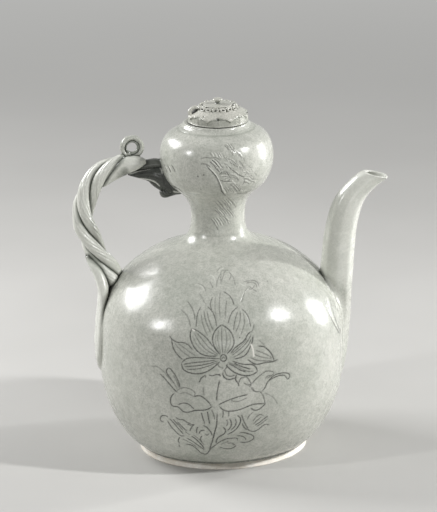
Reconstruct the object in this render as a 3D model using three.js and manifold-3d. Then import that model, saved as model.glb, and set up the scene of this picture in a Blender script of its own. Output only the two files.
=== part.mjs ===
// A glazed gourd-shaped wine ewer with a rope handle, a curved spout and a loose lid.
// Millimetres, +Z up. The spout points along +X and the handle lies on the -X side.
// The foot stands on z = 0, and the origin is the middle of the ewer's bounding box there.
import * as THREE from 'three';
import { mergeVertices } from 'three/addons/utils/BufferGeometryUtils.js';
import Module from 'manifold-3d';

const wasm = await Module();
wasm.setup();

// Turned vessel: heights of its luted parts, from the foot up
const footHeight = 6;
const bellyHeight = 185;
const neckHeight = 42;
const bulbHeight = 66.5;
const collarHeight = 3.8;

// Turned vessel: outer radii and walls
const bellyRadius = 110;
const waistRadius = 23.9;
const bulbRadius = 50.9;
const mouthRadius = 29.2;
const mouthBore = 22.5;
const footRadius = 74;
const footTaper = 0.6;
const footWidth = 9;
const wall = 5;
const floorThickness = 7;

// Outer outline of the vessel: [share of the part's height, share of the part's radius], but
// under the belly's equator the second is the share of the way out from the foot's radius
const underBellyShares = [
  [0, 0.062], [0.046, 0.309], [0.115, 0.572], [0.207, 0.804], [0.304, 0.939], [0.405, 0.994],
];
const overBellyShares = [
  [0.524, 1], [0.609, 0.999], [0.676, 0.985], [0.738, 0.945], [0.796, 0.881], [0.847, 0.805],
  [0.892, 0.72], [0.932, 0.63], [0.964, 0.532], [0.99, 0.422],
];
const neckShares = [
  [0, 1.71], [0.067, 1.418], [0.15, 1.213], [0.264, 1.08], [0.412, 1.02], [0.567, 1],
  [0.717, 1.008], [0.862, 1.054],
];
const bulbShares = [
  [0, 0.548], [0.072, 0.623], [0.134, 0.715], [0.195, 0.807], [0.27, 0.882], [0.356, 0.939],
  [0.447, 0.976], [0.586, 1], [0.729, 0.976], [0.82, 0.931], [0.893, 0.857], [0.943, 0.749],
  [1, 0.629],
];
const equatorShare = 0.524;

// Lid
const lidRadius = 27.7;
const lidShift = 2;
const lidWallHeight = 7.4;
const lidShoulderRise = 4.6;
const lidTopRadius = 19.5;
const lidHollowRadius = 23;
const lidCrownThickness = 4.5;
const flangeWidth = 3.5;
const flangeDepth = 8;
const flangePlay = 0.6;
const calyxRadius = 17.4;
const calyxLobes = 16;
const calyxLobeDepth = 1.1;
const calyxThickness = 2.4;
const domeRadius = 13.5;
const domeHeight = 1;
const knobStemRadius = 2.2;
const knobStemHeight = 2.4;
const knobRadius = 4.5;
const knobHeight = 3.2;
const lidLoopHalfWidth = 6.5;
const lidLoopHalfHeight = 5;
const lidLoopRod = 1.4;
const lidLoopTurn = THREE.MathUtils.degToRad(13);

// Rope handle of three twisted rolls
const handleReach = 55;
const rollRadius = 5.7;
const rollOffset = 5;
const ropePitch = 110;
const ropePhase = THREE.MathUtils.degToRad(200);
const rollCount = 3;
const handleFootShare = 0.811;
const handleHeadShare = 0.511;
// [share of the rise from the handle's foot to its head, share of the handle's reach]
const ropeShares = [
  [-0.1, -0.16], [0, 0], [0.11, 0.2], [0.23, 0.436], [0.43, 0.775], [0.62, 0.965], [0.76, 1],
  [0.88, 0.93], [0.96, 0.75], [0.995, 0.487],
];

// Branches that carry the rope's head to the bulb, each station
// [share of the way to the bulb, drop as a share of the branch depth, half height, half width]
const headBranchDepth = 7.3;
const headBranchWidth = 8;
const headBranchShares = [
  [0, 0, 1, 1], [0.2, -0.14, 0.75, 0.9], [0.44, -0.36, 0.5, 0.7], [0.72, -0.28, 0.42, 0.6],
  [0.95, -0.07, 0.37, 0.6], [1.2, 0.14, 0.37, 0.6],
];
const leafDepth = 11;
const leafWidth = 6.5;
const leafDrop = 9.6;
const leafShares = [
  [-0.08, 0, 0.14, 0.45], [0.3, 0.14, 0.35, 0.7], [0.66, 0.24, 0.55, 0.85],
  [0.92, 0.5, 0.8, 1], [1.18, 0.75, 1, 1], [1.36, 0.84, 1, 1],
];
const tendrilRadius = 4.5;
const tendrilDrop = 28.2;
const tendrilShares = [
  [0.98, -0.4, 0.4, 0.6], [1.1, 0, 1, 1], [1.28, 0.15, 0.72, 0.72], [1.5, 0.1, 0.55, 0.5],
  [1.76, -0.15, 0.5, 0.45],
];

// Cord loop on the rope's head
const loopRadius = 7.7;
const loopRod = 2.9;
const loopRise = 14.2;
const loopSetback = 1.9;
const loopTurn = THREE.MathUtils.degToRad(12);

// Two flat tails of the rope that run down the belly, each station [share of the belly's
// height, share of the belly's radius, share of the thickness, share of the width]
const tailThickness = 7.6;
const tailWidth = 28;
const tailShares = [
  [0.835, 0.927, 1.5, 0.58], [0.8, 0.923, 1.5, 0.68], [0.757, 0.931, 1.3, 0.8],
  [0.708, 0.946, 1.05, 0.97], [0.67, 0.961, 1, 1], [0.616, 0.98, 1, 0.9],
  [0.524, 0.996, 1, 0.6], [0.443, 0.998, 0.95, 0.4], [0.37, 0.987, 0.8, 0.36],
];

// Spout: stations on the belly [share of the belly's height, share of its radius, half width],
// then stations above the shoulder [share of the rise, share of the reach, half width]
const spoutRadius = 15;
const spoutRise = 68;
const spoutReach = 41;
const spoutWall = 3.4;
const spoutRootShares = [
  [0.346, 0.93, 0.6], [0.432, 0.936, 0.74], [0.519, 0.942, 0.85], [0.62, 0.946, 0.94],
  [0.74, 0.95, 0.99], [0.86, 0.965, 1.01],
];
const spoutNeckShares = [
  [0, 0, 0.985], [0.26, 0.066, 0.955], [0.505, 0.18, 0.9], [0.706, 0.375, 0.775],
  [0.847, 0.607, 0.69], [0.938, 0.814, 0.635], [1.01, 1.01, 0.6],
];
const spoutJoinShares = [0.978, 0.984];
const boreRootShares = [[0.64, 0.7, 0.95], [0.73, 0.845, 1], [0.82, 0.936, 1]];
const lipSlope = THREE.MathUtils.degToRad(15);
const lipDrop = 7.6;

// Fit and fineness
const gap = 0.3;
const overrun = 12;
const weldTolerance = 0.001;
const turnedSides = 40;
const lidSides = 28;
const tubeSides = 16;
const smallTubeSides = 10;
const outlineSamples = 400;

const upright = new THREE.Vector3(0, 0, 1);

const glaze = { color: 0xb9bab2, roughness: 0.22, metalness: 0 };
const bareClay = { color: 0xcfc9bd, roughness: 0.6, metalness: 0 };

// Heights of the joints between the turned parts
const equatorZ = footHeight + equatorShare * bellyHeight;
const shoulderZ = footHeight + bellyHeight;
const bulbZ = shoulderZ + neckHeight;
const collarZ = bulbZ + bulbHeight;
const rimZ = collarZ + collarHeight;

// Reads a table of shares as points of an outline (radius, height)
function outlineFrom(shares, base, height, radius, nearRadius = 0) {
  return shares.map(([up, out]) => new THREE.Vector2(
    THREE.MathUtils.lerp(nearRadius, radius, out),
    base + up * height,
  ));
}

const outerOutline = new THREE.SplineCurve([
  ...outlineFrom(underBellyShares, footHeight, bellyHeight, bellyRadius, footRadius),
  ...outlineFrom(overBellyShares, footHeight, bellyHeight, bellyRadius),
  ...outlineFrom(neckShares, shoulderZ, neckHeight, waistRadius),
  ...outlineFrom(bulbShares, bulbZ, bulbHeight, bulbRadius),
]).getPoints(outlineSamples);

// Moves an outline sideways, to its right where the distance is positive
function offsetOutline(outline, distance) {
  return outline.map((point, i) => {
    const before = outline[Math.max(i - 1, 0)];
    const after = outline[Math.min(i + 1, outline.length - 1)];
    const along = after.clone().sub(before).normalize();
    return new THREE.Vector2(point.x + along.y * distance, point.y - along.x * distance);
  });
}

const innerOutline = offsetOutline(outerOutline, -wall);

// Radius of an outline at a height
function radiusAt(outline, z) {
  const above = outline.findIndex((point) => point.y >= z);
  if (above <= 0) {
    return outline[above < 0 ? outline.length - 1 : 0].x;
  }
  const low = outline[above - 1];
  const high = outline[above];
  return THREE.MathUtils.mapLinear(z, low.y, high.y, low.x, high.x);
}

// The stretch of an outline between two heights, in steps of equal length
function stretch(outline, lowZ, highZ, steps) {
  const inside = outline.filter((point) => point.y > lowZ && point.y < highZ);
  const path = new THREE.CurvePath();
  const points = [
    new THREE.Vector2(radiusAt(outline, lowZ), lowZ),
    ...inside,
    new THREE.Vector2(radiusAt(outline, highZ), highZ),
  ];
  for (let i = 1; i < points.length; i += 1) {
    path.add(new THREE.LineCurve(points[i - 1], points[i]));
  }
  return Array.from({ length: steps + 1 }, (_, i) => path.getPointAt(i / steps));
}

// Turns a profile of (radius, height) points about the vertical axis
function turned(points, sides = turnedSides) {
  const geometry = new THREE.LatheGeometry(points, sides);
  geometry.rotateX(Math.PI / 2);
  return geometry;
}

function closedProfile(points) {
  return [...points, points[0]];
}

// A turned shell whose wall lies between the outer and inner outlines
function shell(lowZ, highZ, outerSteps, innerSteps) {
  const outside = stretch(outerOutline, lowZ, highZ, outerSteps);
  const inside = stretch(innerOutline, lowZ, highZ, innerSteps).reverse();
  return turned(closedProfile([...outside, ...inside]));
}

// Drops all but the positions, welds them and removes faces that lost their area
function welded(geometry) {
  const bare = geometry.clone();
  bare.deleteAttribute('normal');
  bare.deleteAttribute('uv');
  const merged = mergeVertices(bare, weldTolerance);
  const index = merged.index.array;
  const kept = [];
  for (let i = 0; i < index.length; i += 3) {
    const [a, b, c] = [index[i], index[i + 1], index[i + 2]];
    if (a !== b && b !== c && c !== a) {
      kept.push(a, b, c);
    }
  }
  merged.setIndex(kept);
  return merged;
}

function solidOf(geometry) {
  const merged = welded(geometry);
  return new wasm.Manifold(new wasm.Mesh({
    numProp: 3,
    vertProperties: merged.attributes.position.array,
    triVerts: Uint32Array.from(merged.index.array),
  }));
}

function geometryOf(solid) {
  const mesh = solid.getMesh();
  const geometry = new THREE.BufferGeometry();
  geometry.setAttribute('position', new THREE.BufferAttribute(mesh.vertProperties, 3));
  geometry.setIndex(new THREE.BufferAttribute(mesh.triVerts, 1));
  return geometry;
}

// Cuts every cutter out of a geometry
function cut(geometry, ...cutters) {
  const result = cutters.reduce((solid, cutter) => solid.subtract(solidOf(cutter)), solidOf(geometry));
  return geometryOf(result);
}

function signedVolume(positions, index) {
  const [a, b, c] = [new THREE.Vector3(), new THREE.Vector3(), new THREE.Vector3()];
  let total = 0;
  for (let i = 0; i < index.length; i += 3) {
    a.fromArray(positions, 3 * index[i]);
    b.fromArray(positions, 3 * index[i + 1]);
    c.fromArray(positions, 3 * index[i + 2]);
    total += a.dot(b.cross(c));
  }
  return total;
}

// Skins a row of equal rings; a joined row closes on itself, any other gets two end faces.
// The diagonals mirror each other about the outline's middle, so that twisted flats that
// face each other are creased alike.
function skin(rings, joined = false) {
  const sides = rings[0].length;
  const points = rings.flat();
  const index = [];
  const spans = joined ? rings.length : rings.length - 1;
  for (let i = 0; i < spans; i += 1) {
    const here = i * sides;
    const next = ((i + 1) % rings.length) * sides;
    for (let j = 0; j < sides; j += 1) {
      const k = (j + 1) % sides;
      if (2 * j < sides) {
        index.push(here + j, here + k, next + j);
        index.push(here + k, next + k, next + j);
      } else {
        index.push(here + j, here + k, next + k);
        index.push(here + j, next + k, next + j);
      }
    }
  }
  if (!joined) {
    const last = (rings.length - 1) * sides;
    const ends = [rings[0], rings[rings.length - 1]];
    const centres = ends.map((ring) => ring
      .reduce((sum, point) => sum.add(point), new THREE.Vector3())
      .divideScalar(sides));
    points.push(...centres);
    for (let j = 0; j < sides; j += 1) {
      const k = (j + 1) % sides;
      index.push(points.length - 2, k, j);
      index.push(points.length - 1, last + j, last + k);
    }
  }
  const positions = points.flatMap((point) => point.toArray());
  if (signedVolume(positions, index) < 0) {
    index.reverse();
  }
  const geometry = new THREE.BufferGeometry();
  geometry.setAttribute('position', new THREE.Float32BufferAttribute(positions, 3));
  geometry.setIndex(index);
  return geometry;
}

// A ring of points about a centre, in the plane square to an upright curve's tangent.
// The outline's x runs to the right of the tangent and its y along +Y.
function ringAt(centre, tangent, outline) {
  return outline.map((point) => new THREE.Vector3(
    centre.x + tangent.z * point.x,
    centre.y + point.y,
    centre.z - tangent.x * point.x,
  ));
}

function oval(halfDepth, halfWidth, sides) {
  return Array.from({ length: sides }, (_, i) => {
    const angle = (2 * Math.PI * i) / sides;
    return new THREE.Vector2(halfDepth * Math.cos(angle), halfWidth * Math.sin(angle));
  });
}

// A tube of oval section through stations { centre, halfDepth, halfWidth, turn }; the turn,
// where a station has one, is about the vertical axis
function tube(stations, steps, sides, grow = 0) {
  const line = new THREE.CatmullRomCurve3(stations.map((station) => station.centre));
  const halves = new THREE.CatmullRomCurve3(stations.map(
    (station) => new THREE.Vector3(station.halfDepth, station.halfWidth, station.turn ?? 0),
  ));
  const rings = Array.from({ length: steps + 1 }, (_, i) => {
    const share = i / steps;
    const half = halves.getPoint(share);
    const ring = ringAt(line.getPoint(share), line.getTangent(share), oval(half.x + grow, half.y + grow, sides));
    return ring.map((point) => point.applyAxisAngle(upright, half.z));
  });
  return skin(rings);
}

// The filled vessel, grown by the gap that every piece on its outside keeps
const vesselRoom = (() => {
  const outside = stretch(offsetOutline(outerOutline, gap), footHeight, collarZ, 3 * turnedSides / 2);
  return turned([
    new THREE.Vector2(0, outside[0].y),
    ...outside,
    new THREE.Vector2(0, outside[outside.length - 1].y),
  ]);
})();

// Foot ring, turned and luted under the belly
function footRing() {
  const bevel = footTaper;
  const topRadius = footRadius - footTaper;
  const inner = footRadius - footWidth;
  return turned(closedProfile([
    new THREE.Vector2(inner + bevel, 0),
    new THREE.Vector2(footRadius - bevel, 0),
    new THREE.Vector2(footRadius, bevel),
    new THREE.Vector2(topRadius, footHeight),
    new THREE.Vector2(inner, footHeight),
    new THREE.Vector2(inner, bevel),
  ]));
}

// Lower half of the belly, a bowl with its floor
function bellyBowl() {
  const floorZ = footHeight + floorThickness;
  return turned([
    new THREE.Vector2(0, footHeight),
    ...stretch(outerOutline, footHeight, equatorZ, 9),
    ...stretch(innerOutline, floorZ, equatorZ, 5).reverse(),
    new THREE.Vector2(0, floorZ),
  ]);
}

// Mouth collar that carries the lid
function mouthCollar() {
  return turned(closedProfile([
    new THREE.Vector2(mouthBore, collarZ),
    new THREE.Vector2(radiusAt(outerOutline, collarZ), collarZ),
    new THREE.Vector2(mouthRadius, rimZ),
    new THREE.Vector2(mouthBore, rimZ),
  ]));
}

// Stations of the spout's centre line, the root on the belly first
function onBelly([up, out, half]) {
  return {
    centre: new THREE.Vector3(out * bellyRadius, 0, footHeight + up * bellyHeight),
    halfDepth: half * spoutRadius,
    halfWidth: half * spoutRadius,
  };
}

const spoutJoin = onBelly([...spoutJoinShares, 1]).centre;

function onSpoutNeck([up, out, half]) {
  return {
    centre: new THREE.Vector3(spoutJoin.x + out * spoutReach, 0, spoutJoin.z + up * spoutRise),
    halfDepth: half * spoutRadius,
    halfWidth: half * spoutRadius,
  };
}

function narrowed(station) {
  return {
    centre: station.centre,
    halfDepth: station.halfDepth - spoutWall,
    halfWidth: station.halfWidth - spoutWall,
  };
}

const spoutNeck = spoutNeckShares.map(onSpoutNeck);
const spoutEnd = spoutNeck[spoutNeck.length - 1];
const spoutEndDirection = spoutEnd.centre.clone().sub(spoutNeck[spoutNeck.length - 2].centre).normalize();
const pastSpoutEnd = { ...spoutEnd, centre: spoutEnd.centre.clone().addScaledVector(spoutEndDirection, overrun) };
const spoutBore = tube(
  [...boreRootShares.map(onBelly), ...spoutNeck, pastSpoutEnd].map(narrowed),
  26,
  tubeSides,
);

function spout() {
  const outside = tube([...spoutRootShares.map(onBelly), ...spoutNeck], 28, tubeSides);
  const blockSize = 2 * spoutReach;
  const block = new THREE.BoxGeometry(blockSize, blockSize, blockSize);
  block.translate(0, 0, blockSize / 2);
  block.rotateY(lipSlope);
  block.translate(spoutEnd.centre.x, 0, spoutEnd.centre.z - lipDrop);
  return cut(outside, spoutBore, block, vesselRoom);
}

// Rope handle: its foot lies on the belly and its head on the bulb
const handleFoot = (() => {
  const z = footHeight + handleFootShare * bellyHeight;
  return new THREE.Vector3(-radiusAt(outerOutline, z), 0, z);
})();
const handleHead = (() => {
  const z = bulbZ + handleHeadShare * bulbHeight;
  return new THREE.Vector3(-radiusAt(outerOutline, z), 0, z);
})();
const ropeLine = new THREE.CatmullRomCurve3(ropeShares.map(([up, out]) => {
  const point = handleFoot.clone().lerp(handleHead, up);
  point.x -= out * handleReach;
  return point;
}));
const ropeEnd = ropeLine.getPoint(1);

// Section of one pressed roll: a round back and two flats that meet near the rope's middle
function rollOutline(flatGap, grow) {
  const halfWedge = Math.PI / rollCount;
  const apex = flatGap / 2 / Math.sin(halfWedge);
  const reach = rollOffset - apex;
  const radius = rollRadius + grow;
  const flat = reach * Math.cos(halfWedge)
    + Math.sqrt(radius ** 2 - (reach * Math.sin(halfWedge)) ** 2);
  const span = Math.atan2(flat * Math.sin(halfWedge), flat * Math.cos(halfWedge) - reach);
  const steps = 8;
  const back = Array.from({ length: steps + 1 }, (_, i) => {
    const angle = span * ((2 * i) / steps - 1);
    return new THREE.Vector2(rollOffset + radius * Math.cos(angle), radius * Math.sin(angle));
  });
  return [new THREE.Vector2(apex, 0), ...back];
}

function roll(number, flatGap = gap, grow = 0) {
  const outline = rollOutline(flatGap, grow);
  const length = ropeLine.getLength();
  const steps = 26;
  const rings = Array.from({ length: steps + 1 }, (_, i) => {
    const share = i / steps;
    const turn = ropePhase + (2 * Math.PI * number) / rollCount - (2 * Math.PI * length * share) / ropePitch;
    const turnedOutline = outline.map((point) => point.clone().rotateAround(new THREE.Vector2(), turn));
    return ringAt(ropeLine.getPointAt(share), ropeLine.getTangentAt(share), turnedOutline);
  });
  return skin(rings);
}

const rollNumbers = Array.from({ length: rollCount }, (_, i) => i);
const ropeRoom = rollNumbers.map((number) => roll(number, 0, gap));

// Stations between the rope's end and the bulb; the drop is measured down from the rope's end
function branchStations(shares, start, drop, depth, width) {
  return shares.map(([along, down, high, wide]) => ({
    centre: new THREE.Vector3(
      THREE.MathUtils.lerp(start.x, handleHead.x, along),
      0,
      start.z - drop - down * depth,
    ),
    halfDepth: high * depth,
    halfWidth: wide * width,
  }));
}

const headStart = ropeEnd.clone().addScaledVector(ropeLine.getTangent(1), gap);
const headStations = branchStations(headBranchShares, headStart, 0, headBranchDepth, headBranchWidth);
const leafStations = branchStations(leafShares, ropeEnd, leafDrop, leafDepth, leafWidth);
const tendrilStations = branchStations(tendrilShares, ropeEnd, tendrilDrop, tendrilRadius, tendrilRadius);

function headBranch(grow = 0) {
  return tube(headStations, 10, smallTubeSides, grow);
}

function leafBranch(grow = 0) {
  return tube(leafStations, 10, smallTubeSides, grow);
}

// An upright ring of round rod about an axis along Y
function uprightRing(halfWidth, halfHeight, rod, steps, sides) {
  const section = oval(rod, rod, sides);
  const rings = Array.from({ length: steps }, (_, i) => {
    const angle = (2 * Math.PI * i) / steps;
    const out = new THREE.Vector3(Math.cos(angle), 0, Math.sin(angle));
    const tangent = new THREE.Vector3(-out.z, 0, out.x);
    const centre = new THREE.Vector3(halfWidth * out.x, 0, halfHeight * out.z);
    return ringAt(centre, tangent, section);
  });
  return skin(rings, true);
}

function cordLoop() {
  const ring = uprightRing(loopRadius, loopRadius, loopRod, 20, smallTubeSides);
  ring.rotateZ(loopTurn);
  ring.translate(ropeEnd.x + loopSetback, 0, ropeEnd.z + loopRise);
  return cut(ring, ...ropeRoom, headBranch(gap));
}

// One of the two tails side by side on the belly, in front of or behind the rope's plane
function tail(side) {
  const stations = tailShares.map(([up, out, thick, wide]) => ({
    centre: new THREE.Vector3(-out * bellyRadius, 0, footHeight + up * bellyHeight),
    halfDepth: (thick * tailThickness) / 2,
    halfWidth: (wide * tailWidth) / 2,
    turn: (-side * (wide * tailWidth + gap)) / (2 * out * bellyRadius),
  }));
  return cut(tube(stations, 14, smallTubeSides), vesselRoom, ...ropeRoom);
}

// Lid: a hollow cap with a flange that drops into the mouth
const lidZ = rimZ + gap;
const lidShoulderZ = lidZ + lidWallHeight;
const lidTopZ = lidShoulderZ + lidShoulderRise;
const lidCeilingZ = lidTopZ - lidCrownThickness;
const domeZ = lidTopZ + calyxThickness;
const knobZ = domeZ + domeHeight;

function capProfile(grow) {
  return [
    new THREE.Vector2(lidRadius + grow, lidZ - grow),
    new THREE.Vector2(lidRadius + grow, lidShoulderZ + grow),
    new THREE.Vector2(lidTopRadius + grow, lidTopZ + grow),
    new THREE.Vector2(0, lidTopZ + grow),
  ];
}

function lidCap() {
  return turned([
    new THREE.Vector2(0, lidCeilingZ),
    new THREE.Vector2(lidHollowRadius, lidCeilingZ),
    new THREE.Vector2(lidHollowRadius, lidZ),
    ...capProfile(0),
  ], lidSides);
}

function lidFlange() {
  const outer = mouthBore - lidShift - flangePlay;
  return turned(closedProfile([
    new THREE.Vector2(outer - flangeWidth, rimZ - flangeDepth),
    new THREE.Vector2(outer, rimZ - flangeDepth),
    new THREE.Vector2(outer, lidCeilingZ),
    new THREE.Vector2(outer - flangeWidth, lidCeilingZ),
  ]), lidSides);
}

// Scalloped disc under the dome, one lobe for each petal tip
function lidCalyx() {
  const steps = 5 * calyxLobes;
  const outline = new THREE.Shape(Array.from({ length: steps }, (_, i) => {
    const angle = (2 * Math.PI * i) / steps;
    const lobe = Math.abs(Math.cos((calyxLobes * angle) / 2));
    const radius = calyxRadius - calyxLobeDepth * (1 - lobe);
    return new THREE.Vector2(radius * Math.cos(angle), radius * Math.sin(angle));
  }));
  const disc = new THREE.ExtrudeGeometry(outline, { depth: calyxThickness, bevelEnabled: false });
  disc.translate(0, 0, lidTopZ);
  return disc;
}

function lidDome() {
  const flat = 2 * knobStemRadius;
  const steps = 4;
  const crown = Array.from({ length: steps + 1 }, (_, i) => {
    const angle = (Math.PI / 2) * (i / steps);
    return new THREE.Vector2(
      flat + (domeRadius - flat) * Math.cos(angle),
      domeZ + domeHeight * Math.sin(angle),
    );
  });
  return turned([new THREE.Vector2(0, domeZ), ...crown, new THREE.Vector2(0, knobZ)], lidSides);
}

function lidKnob() {
  const buttonZ = knobZ + knobStemHeight;
  const steps = 6;
  const button = Array.from({ length: steps + 1 }, (_, i) => {
    const angle = Math.PI * (i / steps - 1 / 2);
    return new THREE.Vector2(
      knobStemRadius + (knobRadius - knobStemRadius) * Math.cos(angle),
      buttonZ + (knobHeight / 2) * (1 + Math.sin(angle)),
    );
  });
  return turned([
    new THREE.Vector2(0, knobZ),
    new THREE.Vector2(knobStemRadius, knobZ),
    ...button,
    new THREE.Vector2(0, buttonZ + knobHeight),
  ], tubeSides);
}

// Small cord loop that stands on the lid's shoulder towards the handle
function lidLoop() {
  const ring = uprightRing(lidLoopHalfWidth, lidLoopHalfHeight, lidLoopRod, 16, smallTubeSides);
  ring.translate(2 * lidLoopRod - (lidRadius + calyxRadius) / 2, 0, lidShoulderZ + lidLoopRod);
  const capRoom = turned([
    new THREE.Vector2(0, lidZ - gap),
    ...capProfile(gap),
  ], lidSides);
  const discRoom = new THREE.CylinderGeometry(
    calyxRadius + gap, calyxRadius + gap, calyxThickness + 2 * gap, lidSides,
  );
  discRoom.rotateX(Math.PI / 2);
  discRoom.translate(0, 0, lidTopZ + calyxThickness / 2);
  const piece = cut(ring, capRoom, discRoom);
  piece.rotateZ(lidLoopTurn);
  return piece;
}

function meshOf(name, geometry, look = glaze) {
  const mesh = new THREE.Mesh(geometry, new THREE.MeshStandardMaterial(look));
  mesh.name = name;
  return mesh;
}

const vesselPieces = [
  meshOf('foot_ring', footRing(), bareClay),
  meshOf('belly_bowl', bellyBowl()),
  meshOf('belly_shoulder', cut(shell(equatorZ, shoulderZ, 10, 6), spoutBore)),
  meshOf('neck', shell(shoulderZ, bulbZ, 8, 5)),
  meshOf('upper_bulb', shell(bulbZ, collarZ, 11, 7)),
  meshOf('mouth_collar', mouthCollar()),
  meshOf('spout', spout()),
  ...rollNumbers.map((number) => meshOf(`handle_roll_${number + 1}`, cut(roll(number), vesselRoom))),
  meshOf('handle_tail_front', tail(-1)),
  meshOf('handle_tail_back', tail(1)),
  meshOf('handle_head_branch', cut(headBranch(), vesselRoom, ...ropeRoom)),
  meshOf('handle_leaf_branch', cut(leafBranch(), vesselRoom, headBranch(gap), ...ropeRoom)),
  meshOf('handle_tendril', cut(tube(tendrilStations, 10, smallTubeSides), vesselRoom, leafBranch(gap))),
  meshOf('handle_cord_loop', cordLoop()),
];

const lidPieces = [
  meshOf('lid_cap', lidCap()),
  meshOf('lid_flange', lidFlange()),
  meshOf('lid_calyx', lidCalyx()),
  meshOf('lid_dome', lidDome()),
  meshOf('lid_knob', lidKnob()),
  meshOf('lid_cord_loop', lidLoop()),
];

// The lid is built about its own axis and lies a little off the mouth's, towards the spout
const lid = new THREE.Group();
lid.add(...lidPieces);
lid.position.x = lidShift;

// The pieces are built about the turned axis, then moved so that the origin is mid-box
const turnedAxis = new THREE.Group();
turnedAxis.add(...vesselPieces, lid);
const box = new THREE.Box3().setFromObject(turnedAxis);
turnedAxis.position.x = -(box.min.x + box.max.x) / 2;

const ewer = new THREE.Group();
ewer.add(turnedAxis);

export default ewer;
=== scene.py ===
"""A glazed gourd-shaped wine ewer with a rope handle, a bent spout and a loose lid.

Sizes are in millimetres about the turned axis, with +Z up, +X towards the spout and the viewer on
the -Y side. Places read from the photograph are in its pixels, 437 across and 512 down.
"""

import math

import bmesh
import bpy
import numpy as np
from mathutils import Matrix, Vector
from mathutils.bvhtree import BVHTree
from mathutils.kdtree import KDTree

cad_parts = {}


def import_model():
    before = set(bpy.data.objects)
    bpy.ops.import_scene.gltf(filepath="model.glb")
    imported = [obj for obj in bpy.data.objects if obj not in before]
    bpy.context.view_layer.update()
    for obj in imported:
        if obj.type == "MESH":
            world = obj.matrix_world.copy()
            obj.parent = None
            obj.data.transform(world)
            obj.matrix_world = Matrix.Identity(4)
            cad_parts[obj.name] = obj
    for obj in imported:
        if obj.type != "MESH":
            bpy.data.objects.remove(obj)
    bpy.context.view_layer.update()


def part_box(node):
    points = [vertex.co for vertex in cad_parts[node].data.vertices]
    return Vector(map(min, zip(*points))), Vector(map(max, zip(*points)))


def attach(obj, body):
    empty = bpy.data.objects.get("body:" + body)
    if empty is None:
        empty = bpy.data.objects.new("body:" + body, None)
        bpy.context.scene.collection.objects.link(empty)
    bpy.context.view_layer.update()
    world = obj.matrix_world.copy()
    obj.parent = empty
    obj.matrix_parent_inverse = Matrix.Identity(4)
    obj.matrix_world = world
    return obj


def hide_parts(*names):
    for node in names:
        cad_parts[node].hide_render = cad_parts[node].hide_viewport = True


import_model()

MM = 0.001
AXIS_X = (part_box("belly_bowl")[0].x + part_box("belly_bowl")[1].x) / 2 / MM


def corners(node):
    """Lowest and highest corners of a CAD node, in millimetres about the turned axis."""
    shift = np.array([AXIS_X, 0, 0])
    low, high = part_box(node)
    return np.array(low) / MM - shift, np.array(high) / MM - shift


# Heights and radii of the vessel, from the frame
FOOT_TOP = corners("foot_ring")[1][2]
SHOULDER_Z = corners("belly_shoulder")[1][2]
BULB_Z = corners("neck")[1][2]
COLLAR_Z = corners("upper_bulb")[1][2]
RIM_Z = corners("mouth_collar")[1][2]
FOOT_RADIUS = corners("foot_ring")[1][1]
BELLY_RADIUS = corners("belly_bowl")[1][1]
BULB_RADIUS = corners("upper_bulb")[1][1]
WAIST_RADIUS = 23.9
MOUTH_RADIUS = 29.2
MOUTH_BORE = 22.5
WALL = 5
FLOOR_THICKNESS = 7
BELLY_HEIGHT = SHOULDER_Z - FOOT_TOP

# Outer outline of the vessel: [share of the part's height, share of the part's radius], but
# under the belly's equator the second is the share of the way out from the foot's radius
UNDER_BELLY_SHARES = [
    [0, 0.062], [0.046, 0.309], [0.115, 0.572], [0.207, 0.804], [0.304, 0.939], [0.405, 0.994],
]
OVER_BELLY_SHARES = [
    [0.524, 1], [0.609, 0.999], [0.676, 0.985], [0.738, 0.945], [0.796, 0.881], [0.847, 0.805],
    [0.892, 0.72], [0.932, 0.63], [0.964, 0.532], [0.99, 0.422],
]
NECK_SHARES = [
    [0, 1.71], [0.067, 1.418], [0.15, 1.213], [0.264, 1.08], [0.412, 1.02], [0.567, 1],
    [0.717, 1.008], [0.862, 1.054],
]
BULB_SHARES = [
    [0, 0.548], [0.072, 0.623], [0.134, 0.715], [0.195, 0.807], [0.27, 0.882], [0.356, 0.939],
    [0.447, 0.976], [0.586, 1], [0.729, 0.976], [0.82, 0.931], [0.893, 0.857], [0.943, 0.749],
    [1, 0.629],
]
OUTLINE_POINTS = 1500
FAIRING_ROUNDS = 120
SOFTENING_ROUNDS = 7

# Camera of the photograph
PHOTO_WIDTH = 437
PHOTO_HEIGHT = 512
CAMERA_DISTANCE = 3500
CAMERA_ELEVATION = math.radians(16.78)
CAMERA_PIVOT_Z = 165
CAMERA_TARGET = (-0.45, 0, 177.35)
CAMERA_ROLL = math.radians(-1.33)
LENS = 272.7
SENSOR = 36


def placed(points):
    """Points of the ewer in the frame's metres."""
    return (np.asarray(points, float) + [AXIS_X, 0, 0]) * MM


def lengths(curve):
    """How far along a polyline each of its points lies."""
    return np.concatenate([[0], np.cumsum(np.linalg.norm(np.diff(curve, axis=0), axis=1))])


def directions(curve):
    """Unit vectors along a polyline at its points."""
    along = np.gradient(curve, axis=0)
    return along / np.linalg.norm(along, axis=1)[:, None]


def even(curve, count):
    """Points at equal spacing along a polyline."""
    length = lengths(curve)
    at = np.linspace(0, length[-1], count)
    return np.stack([np.interp(at, length, column) for column in curve.T], axis=1)


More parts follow.
